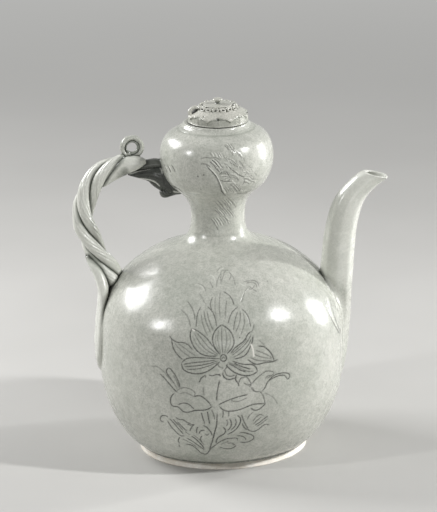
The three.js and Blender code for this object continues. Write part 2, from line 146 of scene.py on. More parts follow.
def spline(points, count):
    """Points at equal spacing on the natural cubic spline through a list of points."""
    points = np.array(points, float)
    knots = lengths(points)
    spans = np.diff(knots)
    slopes = np.diff(points, axis=0) / spans[:, None]
    system = np.eye(len(points))
    right = np.zeros_like(points)
    for i in range(1, len(spans)):
        system[i, i - 1:i + 2] = spans[i - 1], 2 * (spans[i - 1] + spans[i]), spans[i]
        right[i] = 6 * (slopes[i] - slopes[i - 1])
    bends = np.linalg.solve(system, right)
    fine = np.linspace(0, knots[-1], 6 * count)
    at = np.clip(np.searchsorted(knots, fine) - 1, 0, len(spans) - 1)
    span, past = spans[at][:, None], (fine - knots[at])[:, None]
    lean = slopes[at] - span * (2 * bends[at] + bends[at + 1]) / 6
    curve = points[at] + past * lean + past ** 2 * bends[at] / 2
    curve += past ** 3 * (bends[at + 1] - bends[at]) / (6 * span)
    return even(curve, count)


def shares_to_outline(shares, base, height, radius, near_radius=0):
    """Points (radius, height) of an outline, from shares of its height and radius."""
    return [(near_radius + out * (radius - near_radius), base + up * height) for up, out in shares]


def faired(curve, rounds):
    """A polyline with its small bends evened out and its ends kept."""
    curve = curve.copy()
    for _ in range(rounds):
        curve[1:-1] = (curve[:-2] + 2 * curve[1:-1] + curve[2:]) / 4
    return curve


def vessel_outline():
    """The vessel's outer outline (radius, height) from the foot up to the collar."""
    points = (
        shares_to_outline(UNDER_BELLY_SHARES, FOOT_TOP, BELLY_HEIGHT, BELLY_RADIUS, FOOT_RADIUS)
        + shares_to_outline(OVER_BELLY_SHARES, FOOT_TOP, BELLY_HEIGHT, BELLY_RADIUS)
        + shares_to_outline(NECK_SHARES, SHOULDER_Z, BULB_Z - SHOULDER_Z, WAIST_RADIUS)
        + shares_to_outline(BULB_SHARES, BULB_Z, COLLAR_Z - BULB_Z, BULB_RADIUS)
    )
    return faired(spline(points, OUTLINE_POINTS), FAIRING_ROUNDS)


OUTLINE = vessel_outline()


def outline_radius(z):
    """The body's outer radius at a height."""
    return np.interp(z, OUTLINE[:, 1], OUTLINE[:, 0])


def ripple(points, wavelength, seed):
    """A smooth uneven value of about -1 to 1 for each point, the same on every run."""
    dice = np.random.default_rng(seed)
    waves = 9
    total = np.zeros(len(points))
    for _ in range(waves):
        direction = dice.normal(size=3)
        direction *= 2 * math.pi / (wavelength * dice.uniform(0.7, 1.5) * np.linalg.norm(direction))
        total += np.sin(points @ direction + dice.uniform(0, 2 * math.pi))
    return total / math.sqrt(waves)


def round_angles(count):
    """Angles at equal spacing round a full turn."""
    return np.linspace(0, 2 * math.pi, count, endpoint=False)


def turned(profile, columns):
    """Rings of a profile (radius, height) turned about the axis."""
    radius, angle = profile[:, :1], round_angles(columns)
    height = profile[:, 1:] + 0 * angle
    return np.stack([radius * np.cos(angle), radius * np.sin(angle), height], axis=-1)


def turned_by(points, angle, first=0, second=1):
    """Turns points in place from one axis towards another: from X to Y, if none are given."""
    a, b = points[..., first].copy(), points[..., second].copy()
    points[..., first] = a * np.cos(angle) - b * np.sin(angle)
    points[..., second] = a * np.sin(angle) + b * np.cos(angle)
    return points


def swept(path, sections):
    """Rings of sections (rows, columns, 2) along an upright path; their x runs to its right."""
    tangent = directions(path)
    return np.stack([
        path[:, :1] + tangent[:, 1:] * sections[..., 0],
        sections[..., 1],
        path[:, 1:2] - tangent[:, :1] * sections[..., 0],
    ], axis=-1)


def softened(ring):
    """A closed ring of values or points with its corners evened out."""
    for _ in range(SOFTENING_ROUNDS):
        ring = (np.roll(ring, 1, axis=0) + 2 * ring + np.roll(ring, -1, axis=0)) / 4
    return ring


def body_profile(points):
    """The body's outer radius at the height of each point, and how it changes with height."""
    z = np.clip(points[:, 2], OUTLINE[0, 1], OUTLINE[-1, 1])
    return outline_radius(z), (outline_radius(z + 1) - outline_radius(z - 1)) / 2


def body_gap(points):
    """Distance from points to the body's outer surface, negative inside it."""
    radius, slope = body_profile(points)
    return (np.hypot(points[:, 0], points[:, 1]) - radius) / np.sqrt(1 + slope ** 2)


def body_normal(points):
    """The body's outward direction beside each point."""
    _, slope = body_profile(points)
    radius = np.maximum(np.hypot(points[:, 0], points[:, 1]), MM)
    normal = np.stack([points[:, 0] / radius, points[:, 1] / radius, -slope], axis=1)
    return normal / np.linalg.norm(normal, axis=1)[:, None]


# Meshes

def ring_faces(rows, columns, joined):
    """Quads between rows of points, with a fan at each end of a row that isn't joined."""
    faces = []
    for i in range(rows if joined else rows - 1):
        here, there = i * columns, (i + 1) % rows * columns
        for j in range(columns):
            k = (j + 1) % columns
            faces.append((here + j, here + k, there + k, there + j))
    if not joined:
        last, centre = (rows - 1) * columns, rows * columns
        for j in range(columns):
            k = (j + 1) % columns
            faces.append((centre, k, j))
            faces.append((centre + 1, last + j, last + k))
    return faces


def skin(rings, joined=False):
    """Vertices and outward faces of the skin over rings of shape (rows, columns, 3)."""
    rows, columns = rings.shape[:2]
    vertices = rings.reshape(-1, 3)
    if not joined:
        vertices = np.concatenate([vertices, [rings[0].mean(axis=0)], [rings[-1].mean(axis=0)]])
    faces = ring_faces(rows, columns, joined)
    quads = np.array([face for face in faces if len(face) == 4])
    a, b, c, d = (vertices[quads[:, i]] for i in range(4))
    volume = np.einsum("ij,ij->", a, np.cross(b, c)) + np.einsum("ij,ij->", a, np.cross(c, d))
    if not joined:
        fans = np.array([face for face in faces if len(face) == 3])
        a, b, c = (vertices[fans[:, i]] for i in range(3))
        volume += np.einsum("ij,ij->", a, np.cross(b, c))
    if volume < 0:
        faces = [face[::-1] for face in faces]
    return vertices, faces


def with_ends(values):
    """Values for the points of some rings, and 0 for the middles of a skin's two ends."""
    return np.concatenate([values.ravel(), [0, 0]])


def joined_skins(*skins):
    """Vertices and faces of several skins as one."""
    vertices, faces, count = [], [], 0
    for some_vertices, some_faces in skins:
        vertices.append(some_vertices)
        faces += [tuple(count + i for i in face) for face in some_faces]
        count += len(some_vertices)
    return np.concatenate(vertices), faces


def linked(name, data):
    """A new object of the scene that holds the data."""
    made = bpy.data.objects.new(name, data)
    bpy.context.scene.collection.objects.link(made)
    return made


def piece(name, shape, finish, body, nodes):
    """Makes a smooth mesh that rides on a body and stands for its CAD nodes."""
    vertices, faces = shape
    mesh = bpy.data.meshes.new(name)
    mesh.from_pydata(placed(vertices).tolist(), [], faces)
    mesh.polygons.foreach_set("use_smooth", [True] * len(mesh.polygons))
    mesh.materials.append(finish)
    made = linked(name, mesh)
    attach(made, body)
    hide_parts(*nodes)
    return made


def vectors_of(made, key):
    """One kind of vector of every vertex, such as its place."""
    values = np.zeros(3 * len(made.data.vertices))
    made.data.vertices.foreach_get(key, values)
    return values.reshape(-1, 3)


def points_of(made):
    """Places of a piece's vertices, in millimetres about the turned axis."""
    return vectors_of(made, "co") / MM - [AXIS_X, 0, 0]


def normals_of(made):
    """Outward directions at a piece's vertices."""
    return vectors_of(made, "normal")


def move_points(made, points):
    """Puts a piece's vertices at new places."""
    made.data.vertices.foreach_set("co", placed(points).ravel())
    made.data.update()


def press(made, depth):
    """Moves each point of a piece along its normal by a depth, outwards where it is positive."""
    move_points(made, points_of(made) + normals_of(made) * np.asarray(depth)[:, None])


def mask(made, name, values):
    """Stores a value for each point, which the finish reads by name; the larger value stays."""
    kept = made.data.attributes.get(name)
    values = np.clip(values, 0, 1)
    if kept is None:
        kept = made.data.attributes.new(name, "FLOAT", "POINT")
    else:
        before = np.zeros(len(values))
        kept.data.foreach_get("value", before)
        values = np.maximum(values, before)
    kept.data.foreach_set("value", values)


def tree_of(made):
    """A piece's faces, ready for rays and for the search of near points."""
    faces = [tuple(face.vertices) for face in made.data.polygons]
    return BVHTree.FromPolygons(points_of(made).tolist(), faces)


def nearness(points, other, tree, reach):
    """How near points are to a piece's skin: 1 on it and 0 from a reach away."""
    place = points_of(other)
    close = np.zeros(len(points))
    low, high = place.min(axis=0) - reach, place.max(axis=0) + reach
    for i in np.nonzero(np.all((points > low) & (points < high), axis=1))[0]:
        distance = tree.find_nearest(points[i], reach)[3]
        if distance is not None:
            close[i] = 1 - distance / reach
    return close


# Heights between which the painted shade and pooled glaze at joints fade down the tails, and how far
FADING_Z = [120, 137]
FADED_SHARE = 0.25

# Pooled glaze and painted shade at the joints, and thin glaze and painted light on the handle's ridges
JOINT_POOL_AND_SHADE = 1.15
RIDGE_THIN_AND_LIT = 0.75

# How far the pooled glaze and painted shade reach from a slim piece and from a wide one
SLIM_JOINT_REACH = 2.7
WIDE_JOINT_REACH = 3.4


def pool_and_shade_at_joints(pieces, wall, thin):
    """Paints shade and pooled glaze where each piece, given with its reach, nears another or the wall.

    The pieces in thin have a thinner, paler glaze elsewhere, which also stands in for painted light.
    """
    trees = [tree_of(made) for made, _ in pieces]
    widest = max(reach for _, reach in pieces)
    for made, reach in [*pieces, (wall, widest)]:
        points = points_of(made)
        close = np.zeros(len(points))
        if made is not wall:
            close = np.clip(1 - np.abs(body_gap(points)) / widest, 0, 1)
        for (other, _), tree in zip(pieces, trees):
            if other is not made:
                close = np.maximum(close, nearness(points, other, tree, reach))
        close *= np.interp(points[:, 2], FADING_Z, [FADED_SHARE, 1])
        # Pooled glaze with painted shade near each joint, and painted contact shade where pieces touch
        mask(made, "pool_and_shade", close * JOINT_POOL_AND_SHADE)
        mask(made, "line", (close - 0.5) * 2)
        # Pale thin glaze, partly painted light, on the handle's ridges away from the joints
        if made in thin:
            mask(made, "thin", RIDGE_THIN_AND_LIT - 2 * close)


def hand_made(made, seed, depth, wavelength):
    """Gives a piece the slight unevenness of hand work."""
    press(made, depth * ripple(points_of(made), wavelength, seed))


def meet_body(made, reach, outwards):
    """Rounds a piece where it meets the vessel: 1 for a fillet and below 0 for a rolled edge."""
    points, normals = points_of(made), normals_of(made)
    near = np.clip(1 - body_gap(points) / reach, 0, 1)
    across = 1 - np.abs(np.einsum("ij,ij->i", normals, body_normal(points)))
    depth = reach * (1 - np.sqrt(1 - near ** 2)) * across
    press(made, outwards * depth)


# Finishes

class Wire:
    """A socket that arithmetic turns into Math nodes."""

    def __init__(self, finish, socket):
        self.finish = finish
        self.socket = socket

    def math(self, operation, *values):
        """A Math node on wires and numbers."""
        return self.finish.node("ShaderNodeMath", {"operation": operation}, dict(enumerate(values)))

    def __add__(self, other):
        return self.math("ADD", self, other)

    def __sub__(self, other):
        return self.math("SUBTRACT", self, other)

    def __mul__(self, other):
        return self.math("MULTIPLY", self, other)

    def __rsub__(self, other):
        return self.math("SUBTRACT", other, self)

    def or_greater(self, other):
        """The greater of the two values."""
        return self.math("MAXIMUM", self, other)

    __radd__ = __add__
    __rmul__ = __mul__

    def above(self, low, high):
        """0 below low and 1 above high, smooth between them."""
        settings = {"interpolation_type": "SMOOTHSTEP"}
        sockets = {"Value": self, "From Min": low, "From Max": high}
        return self.finish.node("ShaderNodeMapRange", settings, sockets)


class Nodes:
    """The node tree of a material or of the world, emptied."""

    def __init__(self, owner):
        owner.use_nodes = True
        self.tree = owner.node_tree
        self.tree.nodes.clear()

    def seen_ray(self):
        """1 for the rays that show a background: the camera's, and those of gloss and glass."""
        ray = 0
        for kind in ("Is Camera Ray", "Is Glossy Ray", "Is Transmission Ray"):
            ray = self.node("ShaderNodeLightPath", None, None, kind).or_greater(ray)
        return ray

    def node(self, kind, settings=None, sockets=None, output=0):
        """Adds a node with its settings and with values or links for its sockets."""
        node = self.tree.nodes.new(kind)
        for key, value in (settings or {}).items():
            setattr(node, key, value)
        for key, value in (sockets or {}).items():
            if isinstance(value, Wire):
                self.tree.links.new(value.socket, node.inputs[key])
            else:
                node.inputs[key].default_value = value
        return Wire(self, node.outputs[output]) if node.outputs else None


class Finish(Nodes):
    """The node tree of one material, with places in millimetres."""

    def __init__(self, name):
        self.material = bpy.data.materials.new(name)
        super().__init__(self.material)
        place = self.node("ShaderNodeTexCoord", output="Object")
        self.place = self.node(
            "ShaderNodeVectorMath", {"operation": "SCALE"}, {0: place, "Scale": 1 / MM})

    def noise(self, size, detail=2, roughness=0.5):
        """Cloudy values of about 0.3 to 0.7, with features of a size in millimetres."""
        sockets = {"Vector": self.place, "Scale": 1 / size, "Detail": detail, "Roughness": roughness}
        return self.node("ShaderNodeTexNoise", None, sockets)

    def cells(self, size, feature="F1", output="Distance"):
        """Distances to, or colours of, cells of a size in millimetres."""
        sockets = {"Vector": self.place, "Scale": 1 / size}
        return self.node("ShaderNodeTexVoronoi", {"feature": feature}, sockets, output)

    def masked(self, name):
        """The values that mask() stored on the mesh under a name."""
        return self.node("ShaderNodeAttribute", {"attribute_name": name}, None, "Fac")

    def mix(self, factor, first, second):
        """The first colour, turned into the second where the factor is 1."""
        sockets = {0: factor, 6: first, 7: second}
        return self.node("ShaderNodeMix", {"data_type": "RGBA"}, sockets, 2)

    def shaded(self, color, roughness, height, bump_depth, **constants):
        """Ends the tree in a Principled shader; the height is in millimetres of bump_depth."""
        normal = self.node("ShaderNodeBump", None, {
            "Height": height, "Distance": bump_depth * MM, "Strength": 1})
        sockets = {"Base Color": color, "Roughness": roughness, "Normal": normal}
        sockets.update({key.replace("_", " "): value for key, value in constants.items()})
        shader = self.node("ShaderNodeBsdfPrincipled", None, sockets)
        self.node("ShaderNodeOutputMaterial", None, {"Surface": shader})
        return self.material


def rgb(red, green, blue):
    """A linear colour from 0 to 255 screen values."""
    def linear(value):
        share = value / 255
        return share / 12.92 if share <= 0.04045 else ((share + 0.055) / 1.055) ** 2.4
    return (linear(red), linear(green), linear(blue), 1)


GLAZE_PALE = rgb(211, 211, 203)
GLAZE_GREY = rgb(193, 195, 186)
GLAZE_DEEP_AND_SHADE = rgb(120, 126, 114)
GLAZE_LINE_AND_SHADE = rgb(42, 45, 40)
PAINTED_SHADE = rgb(48, 52, 46)
GLAZE_THIN_AND_LIT = rgb(228, 229, 221)
IRON_SPOT = rgb(96, 84, 70)
CLAY_PALE = rgb(246, 243, 235)
CLAY_WARM = rgb(226, 219, 206)
LID_PALE = rgb(217, 215, 206)
LID_GREY = rgb(190, 190, 181)


def glaze(name, pale=GLAZE_PALE, grey=GLAZE_GREY, roughness=0.24):
    """Grey-green gloss glaze with pinholes, iron spots, pooled glaze and painted shade in hollows."""
    finish = Finish(name)

    # Clouds and grain of a deeper tone
    cloud = finish.noise(52, 3).above(0.34, 0.66)
    streak = finish.noise(9, 4, 0.6).above(0.3, 0.7)
    grain = finish.noise(1.1, 3, 0.7)
    fleck = finish.noise(1.7, 2, 0.6)
    color = finish.mix(cloud * 0.75 + streak * 0.25, grey, pale)
    color = finish.mix(finish.noise(6.5, 3, 0.6).above(0.38, 0.66) * 0.2, color, GLAZE_DEEP_AND_SHADE)
    color = finish.mix(fleck.above(0.4, 0.68) * 0.3, color, GLAZE_DEEP_AND_SHADE)
    color = finish.mix(grain.above(0.42, 0.62) * 0.22, color, GLAZE_DEEP_AND_SHADE)

    # Crazing in two sizes, and iron spots
    craze = finish.cells(7.5, "DISTANCE_TO_EDGE").above(0, 0.012)
    fine_craze = finish.cells(3.1, "DISTANCE_TO_EDGE").above(0, 0.04)
    color = finish.mix(0.24 - craze * 0.12 - fine_craze * 0.12, color, GLAZE_DEEP_AND_SHADE)
    spot_size = finish.cells(13, output="Color").above(0.7, 1)
    spot = (1 - finish.cells(13).above(0.012, 0.03)) * spot_size
    color = finish.mix(spot * 0.7, color, IRON_SPOT)

    # What the masks say: pooled glaze and painted shade, thin glaze and painted light, lines and chips
    # Pooled glaze with painted shade in hollows, creases and joints
    color = finish.mix(finish.masked("pool_and_shade") * 0.6, color, GLAZE_DEEP_AND_SHADE)
    # Painted shade: near black on the handle's branches and in the loops' eyes
    color = finish.mix(finish.masked("dark") * 0.95, color, PAINTED_SHADE)
    # Thin pale glaze, partly painted light on the rope, the spout and raised lines
    color = finish.mix(finish.masked("thin") * 0.85, color, GLAZE_THIN_AND_LIT)
    # Incised lines, and painted shade in crevices, gaps and joints, which share the line mask
    broken = finish.noise(1.3, 2).above(0.25, 0.6) * 0.45 + 0.55
    color = finish.mix(finish.masked("line") * broken, color, GLAZE_LINE_AND_SHADE)
    color = finish.mix(finish.masked("chip") * 0.9, color, CLAY_PALE)

    # Sheen, and a skin with waves, grain and pinholes
    sheen = streak * 0.06 + grain * 0.08 + (roughness - 0.04)
    pinhole = 1 - finish.cells(6.5).above(0.02, 0.05)
    height = finish.noise(14, 2) * 0.6 + grain * 0.035 + fleck * 0.12 - pinhole * 0.25
    return finish.shaded(color, sheen, height, 0.5, Coat_Weight=0.25, Coat_Roughness=0.17)


def foot_clay(name):
    """Pale clay of the foot ring under thin worn glaze, with kiln grit and painted shade at its top."""
    finish = Finish(name)
    cloud = finish.noise(16, 4, 0.6).above(0.35, 0.65)
    grit = 1 - finish.cells(3.2).above(0.08, 0.2)
    color = finish.mix(cloud, CLAY_WARM, CLAY_PALE)
    color = finish.mix(grit * 0.2, color, IRON_SPOT)
    # Painted shade where the body overhangs the foot
    color = finish.mix(finish.masked("line"), color, GLAZE_LINE_AND_SHADE)
    roughness = cloud * 0.2 + 0.42
    height = finish.noise(1.6, 4, 0.7) * 0.3 + grit * 0.2
    return finish.shaded(color, roughness, height, 0.4)


BODY_GLAZE = glaze("body_glaze")
LID_GLAZE = glaze("lid_glaze", LID_PALE, LID_GREY, 0.34)
FOOT_CLAY = foot_clay("foot_clay")


# Camera

def photo_camera():
    """The photograph's camera: a long lens, looking down and rolled a little."""
    eye = Vector((
        0,
        -CAMERA_DISTANCE * math.cos(CAMERA_ELEVATION),
        CAMERA_PIVOT_Z + CAMERA_DISTANCE * math.sin(CAMERA_ELEVATION),
    ))
    aim = (Vector(CAMERA_TARGET) - eye).to_track_quat("-Z", "Y").to_matrix().to_4x4()
    camera = linked("camera", bpy.data.cameras.new("camera"))
    place = Matrix.Translation((eye + Vector((AXIS_X, 0, 0))) * MM)
    camera.matrix_world = place @ aim @ Matrix.Rotation(CAMERA_ROLL, 4, "Z")
    camera.data.sensor_fit = "VERTICAL"
    camera.data.sensor_height = SENSOR
    camera.data.lens = LENS
    bpy.context.scene.camera = camera
    return camera


CAMERA = photo_camera()


def pixel_rays(pixels):
    """Start and directions of the camera's rays through pixels of the photograph."""
    pixels = np.asarray(pixels, float)
    pitch = SENSOR / LENS / PHOTO_HEIGHT
    right = (pixels[:, 0] - PHOTO_WIDTH / 2) * pitch
    up = (PHOTO_HEIGHT / 2 - pixels[:, 1]) * pitch
    rays = np.stack([right, up, -np.ones(len(pixels))], axis=1)
    turn = np.array(CAMERA.matrix_world.to_3x3())
    start = np.array(CAMERA.matrix_world.translation) / MM - [AXIS_X, 0, 0]
    rays = rays @ turn.T
    return start, rays / np.linalg.norm(rays, axis=1)[:, None]


# Vessel

VESSEL_COLUMNS = 240
ROW_STEP = 2.4
INNER_ROWS = 130
LIP_ROUND = 1.3
FLOOR_CORNER = 6

# Radius at which the rings of the base and of the floor end, and a fan of faces closes them
CORE_RADIUS = 6

# Turned rings of the outline: [height, groove depth, groove width, how dark the glaze pools]. At
# the heights of the fine windows only the dark glaze shows.
TURNED_RINGS = [
    [7.7, 0.75, 0.8, 1], [203.4, 0.16, 0.6, 0.45], [245.4, 0.1, 1.1, 0.3], [298, 0.16, 0.8, 0.7],
]
RING_REACH = 1.9
RING_ROWS = 13

# Painted shade where the body meets the foot: [height over the joint, half width]
FOOT_SEAM_SHADE = [0.7, 1.1]

# Windows of finer faces where lines are incised: [low, high, from angle, to angle]
FINE_WINDOWS = [
    [12, 186, -129, -51], [82, 150, -50, -16], [196, 294, -138, -30], [244, 280, -176, -139],
]
FINE_CUTS = 4
WINDOW_MARGIN = 2.5


def uneven(points):
    """How far the thrown wall strays from the true outline."""
    angle = np.arctan2(points[:, 1], points[:, 0])
    ovality = 0.3 * np.sin(2 * angle + 0.9) + 0.16 * np.sin(3 * angle + points[:, 2] / 45)
    rings = 0.05 * np.sin(points[:, 2] / 1.9 + np.sin(angle + 1)) * (ripple(points, 60, 3) > 0)
    return ovality + 0.16 * ripple(points, 38, 4) + 0.6 * rings


def arc(centre, radius, start, end, count):
    """Points of an arc in a profile, between two angles in degrees."""
    angle = np.radians(np.linspace(start, end, count))
    return np.stack([centre[0] + radius * np.cos(angle), centre[1] + radius * np.sin(angle)], axis=1)


def line(start, end, count):
    """Points of a straight stretch of a profile, without its last point."""
    return np.linspace(start, end, count + 1)[:-1]


def offset(curve, distance):
    """A polyline moved to its left."""
    along = directions(curve)
    return curve + distance * np.stack([-along[:, 1], along[:, 0]], axis=1)


def outside_rows():
    """Rows of the outline, closer together at the turned rings and pressed in there."""
    length = lengths(OUTLINE)
    rings = [(np.interp(z, OUTLINE[:, 1], length), deep, width) for z, deep, width, _ in TURNED_RINGS]
    rows = np.linspace(0, length[-1], int(length[-1] / ROW_STEP))
    for middle, _, _ in rings:
        close = middle + np.linspace(-RING_REACH, RING_REACH, RING_ROWS)
        rows = rows[np.abs(rows - middle) > RING_REACH + 0.1]
        rows = np.concatenate([rows, np.clip(close, 0.1, length[-1] - 0.1)])
    rows = np.unique(rows.round(3))
    inward = offset(OUTLINE, 1) - OUTLINE
    depth = sum(deep * np.exp(-((rows - middle) / width) ** 2) for middle, deep, width in rings)
    return np.stack([
        np.interp(rows, length, OUTLINE[:, i]) + depth * np.interp(rows, length, inward[:, i])
        for i in range(2)
    ], axis=1)


def vessel_profile():
    """The vessel's whole profile: base, outside, rim, inside and floor."""
    outside = outside_rows()
    floor_z = FOOT_TOP + FLOOR_THICKNESS
    inner = offset(OUTLINE, WALL)
    inner = inner[(inner[:, 1] > floor_z + WALL) & (inner[:, 1] < COLLAR_Z - WALL)][::-1]
    inner = even(inner, INNER_ROWS)
    lip = LIP_ROUND
    return np.concatenate([
        line((CORE_RADIUS, FOOT_TOP), outside[0] - [1.2, 0], 20),
        outside,
        line(outside[-1] + [-0.9, 0.3], (MOUTH_RADIUS, RIM_Z - lip), 5),
        arc((MOUTH_RADIUS - lip, RIM_Z - lip), lip, 0, 90, 7),
        line((MOUTH_RADIUS - lip - 0.4, RIM_Z), (MOUTH_BORE + lip, RIM_Z), 6),
        arc((MOUTH_BORE + lip, RIM_Z - lip), lip, 90, 180, 7),
        line((MOUTH_BORE, RIM_Z - lip - 0.5), inner[0], 6),
        inner,
        line((inner[-1][0] - FLOOR_CORNER, floor_z + 1), (CORE_RADIUS, floor_z), 16),
    ])


def faces_in_windows(profile):
    """Numbers of the outer faces that lie in the fine windows."""
    rows_z = profile[:-1, 1]
    outer = profile[:-1, 0] > outline_radius(rows_z) - WALL / 2
    angle = round_angles(VESSEL_COLUMNS)
    degrees = np.degrees(np.arctan2(np.sin(angle), np.cos(angle)))
    chosen = []
    for low, high, start, end in FINE_WINDOWS:
        rows = np.nonzero(outer & (rows_z > low) & (rows_z < high))[0]
        columns = np.nonzero((degrees > start) & (degrees < end))[0]
        chosen += [i * VESSEL_COLUMNS + j for i in rows for j in columns]
    return chosen


def refine(made, faces):
    """Cuts some of a piece's faces, given by number, into finer ones."""
    fine = bmesh.new()
    fine.from_mesh(made.data)
    fine.faces.ensure_lookup_table()
    edges = dict.fromkeys(edge for i in faces for edge in fine.faces[i].edges)
    bmesh.ops.subdivide_edges(fine, edges=list(edges), cuts=FINE_CUTS, use_grid_fill=True)
    wide = [face for face in fine.faces if len(face.verts) > 4]
    bmesh.ops.triangulate(fine, faces=wide)
    fine.to_mesh(made.data)
    fine.free()


def rounding(radius, z):
    """What the outer points at the heights of the fine windows grow by, to lie on the outline."""
    smooth = np.zeros(len(z), bool)
    for low, high, _, _ in FINE_WINDOWS:
        smooth |= (z > low - WINDOW_MARGIN) & (z < high + WINDOW_MARGIN)
    smooth &= radius > outline_radius(z) - WALL / 2
    return np.where(smooth, outline_radius(z) / np.maximum(radius, 1), 1)


def vessel():
    """The thrown body, in finer faces where lines are incised."""
    profile = vessel_profile()
    nodes = ["belly_bowl", "belly_shoulder", "neck", "upper_bulb", "mouth_collar"]
    made = piece("vessel", skin(turned(profile, VESSEL_COLUMNS)), BODY_GLAZE, "vessel", nodes)
    refine(made, faces_in_windows(profile))
    points = points_of(made)
    radius = np.hypot(points[:, 0], points[:, 1])
    z = points[:, 2]
    points[:, :2] *= rounding(radius, z)[:, None]
    move_points(made, points)
    press(made, np.where(z > FOOT_TOP + 0.1, uneven(points), 0))
    for ring_z, _, width, dark in TURNED_RINGS:
        mask(made, "pool_and_shade", dark * np.exp(-((z - ring_z) / width) ** 2) * (radius > WAIST_RADIUS))
    # Painted shade in the crevice above the foot
    seam_rise, seam_half = FOOT_SEAM_SHADE
    mask(made, "line", 1 - np.abs(z - FOOT_TOP - seam_rise) / seam_half)
    return made


VESSEL = vessel()

FOOT_COLUMNS = 320
FOOT_FLARE = 1.7
FOOT_WIDTH = 9
FOOT_STEP = 0.8
FOOT_EDGE = 0.8


def foot():
    """The foot ring, with its worn lower edge."""
    outer = FOOT_RADIUS + FOOT_FLARE
    inner = FOOT_RADIUS - FOOT_WIDTH
    edge = FOOT_EDGE
    step_z = FOOT_TOP - FOOT_STEP
    profile = np.concatenate([
        line((inner, FOOT_TOP), (inner + 0.3, edge), 6),
        arc((inner + 0.3 + edge, edge), edge, 180, 270, 6),
        line((inner + 2.2 * edge, 0), (outer - 1.5 * edge, 0), 5),
        arc((outer - edge, edge), edge, 270, 372, 8),
        line((outer - 0.3, 2 * edge), (outer - 3.6, step_z), 8),
        line((outer - 3.8, step_z + 0.3), (outer - 3.8, FOOT_TOP), 2),
        line((outer - 3.8, FOOT_TOP), (inner, FOOT_TOP), 4),
    ])
    shape = skin(turned(profile, FOOT_COLUMNS), joined=True)
    made = piece("foot", shape, FOOT_CLAY, "vessel", ["foot_ring"])
    points = points_of(made)
    press(made, np.where(points[:, 2] > edge, 0.2 * ripple(points, 17, 8), 0))
    # Painted shade on the foot's top, under the body's overhang
    mask(made, "line", (points[:, 2] - step_z + 0.1) / 0.4)


foot()


# Spout

SPOUT_RADIUS = 15
SPOUT_RISE = 68
SPOUT_REACH = 41
SPOUT_WALL = 3.4
LIP_WALL = 2.8

# Stations along the spout: [up, out, half width]. At its root up and out are shares of the belly's
# height and radius, and above that of the spout's own rise and reach from where the two meet.
SPOUT_ROOT_SHARES = [
    [0.25, 0.905, 0.28], [0.346, 0.93, 0.58], [0.432, 0.936, 0.74], [0.519, 0.942, 0.85],
    [0.62, 0.946, 0.94], [0.74, 0.95, 0.99], [0.86, 0.965, 1.01],
]
SPOUT_NECK_SHARES = [
    [0, 0, 0.985], [0.26, 0.066, 0.955], [0.505, 0.18, 0.9], [0.706, 0.375, 0.775],
    [0.847, 0.607, 0.69], [0.938, 0.814, 0.635], [1.01, 1.01, 0.6],
]
SPOUT_JOIN_SHARES = [0.978, 0.984]
FACET_SHARE = 0.8

# The lip: how steep its cut is and how far under the last station it lies, how much the tube
# flares there and over what length, and how long its point is and what share of that is blunted
LIP_SLOPE = math.radians(13)
LIP_DROP = 6.5
LIP_FLARE = 1.1
LIP_FLARE_REACH = 7
LIP_POINT = 5
LIP_BLUNT = 0.5

SPOUT_STATIONS = 420
SPOUT_ROWS = 190
SPOUT_COLUMNS = 96
BORE_FIRST_ROW = 40
LIP_RISE = 0.35

# How far the bore leans near the lip, and how far down the lean and the thinner wall reach
BORE_LEAN = 2.2
BORE_LEAN_LENGTH = 30
LIP_WALL_LENGTH = 25

# Heights at the spout's root between which painted shade in its crease and thin glaze painted as lit
# come in
ROOT_FADE_Z = [146, 160]


def on_belly(up, out):
    """Radius and height of a place given by shares of the belly's height and radius."""
    return out * BELLY_RADIUS, FOOT_TOP + up * BELLY_HEIGHT


def spout_line(count):
    """Stations (x, z, half width) along the spout, from its root on the belly to past its lip."""
    join_x, join_z = on_belly(*SPOUT_JOIN_SHARES)
    root = [(*on_belly(up, out), half * SPOUT_RADIUS) for up, out, half in SPOUT_ROOT_SHARES]
    neck = [
        (join_x + out * SPOUT_REACH, join_z + up * SPOUT_RISE, half * SPOUT_RADIUS)
        for up, out, half in SPOUT_NECK_SHARES
    ]
    past_x, past_z = 2 * np.array(neck[-1][:2]) - np.array(neck[-2][:2])
    return spline(root + neck + [(past_x, past_z, neck[-1][2])], count), neck[-1]


def eight_sided(angle):
    """Radius of a soft octagon of unit size at each angle."""
    eighth = math.pi / 4
    flat = math.cos(eighth / 2) / np.cos((angle % eighth) - eighth / 2)
    return 1 - FACET_SHARE + FACET_SHARE * softened(flat)


def spout_tube(stations, halves):
    """Rings of points about the spout's stations."""
    angle = round_angles(SPOUT_COLUMNS)
    reach = halves[:, None] * eight_sided(angle)
    sections = np.stack([reach * np.cos(angle), reach * np.sin(angle)], axis=-1)
    return swept(stations[:, :2], sections)


def bore_shift(depth):
    """How far the bore leans away from the spout's back near its lip."""
    return np.interp(depth, [0, BORE_LEAN_LENGTH], [BORE_LEAN, 0])


def cut_at_lip(rings, lip_x, lip_z):
    """Ends every column of a tube in the sloping plane of the lip."""
    height = rings[..., 2] - (lip_z - LIP_DROP) + (rings[..., 0] - lip_x) * math.tan(LIP_SLOPE)
    ends = []
    for j in range(rings.shape[1]):
        column = height[:, j]
        i = np.nonzero((column[:-1] <= 0) & (column[1:] > 0))[0][0]
        share = -column[i] / (column[i + 1] - column[i])
        stop = rings[i, j] + share * (rings[i + 1, j] - rings[i, j])
        ends.append(even(np.concatenate([rings[:i + 1, j], [stop]]), SPOUT_ROWS))
    return np.stack(ends, axis=1)


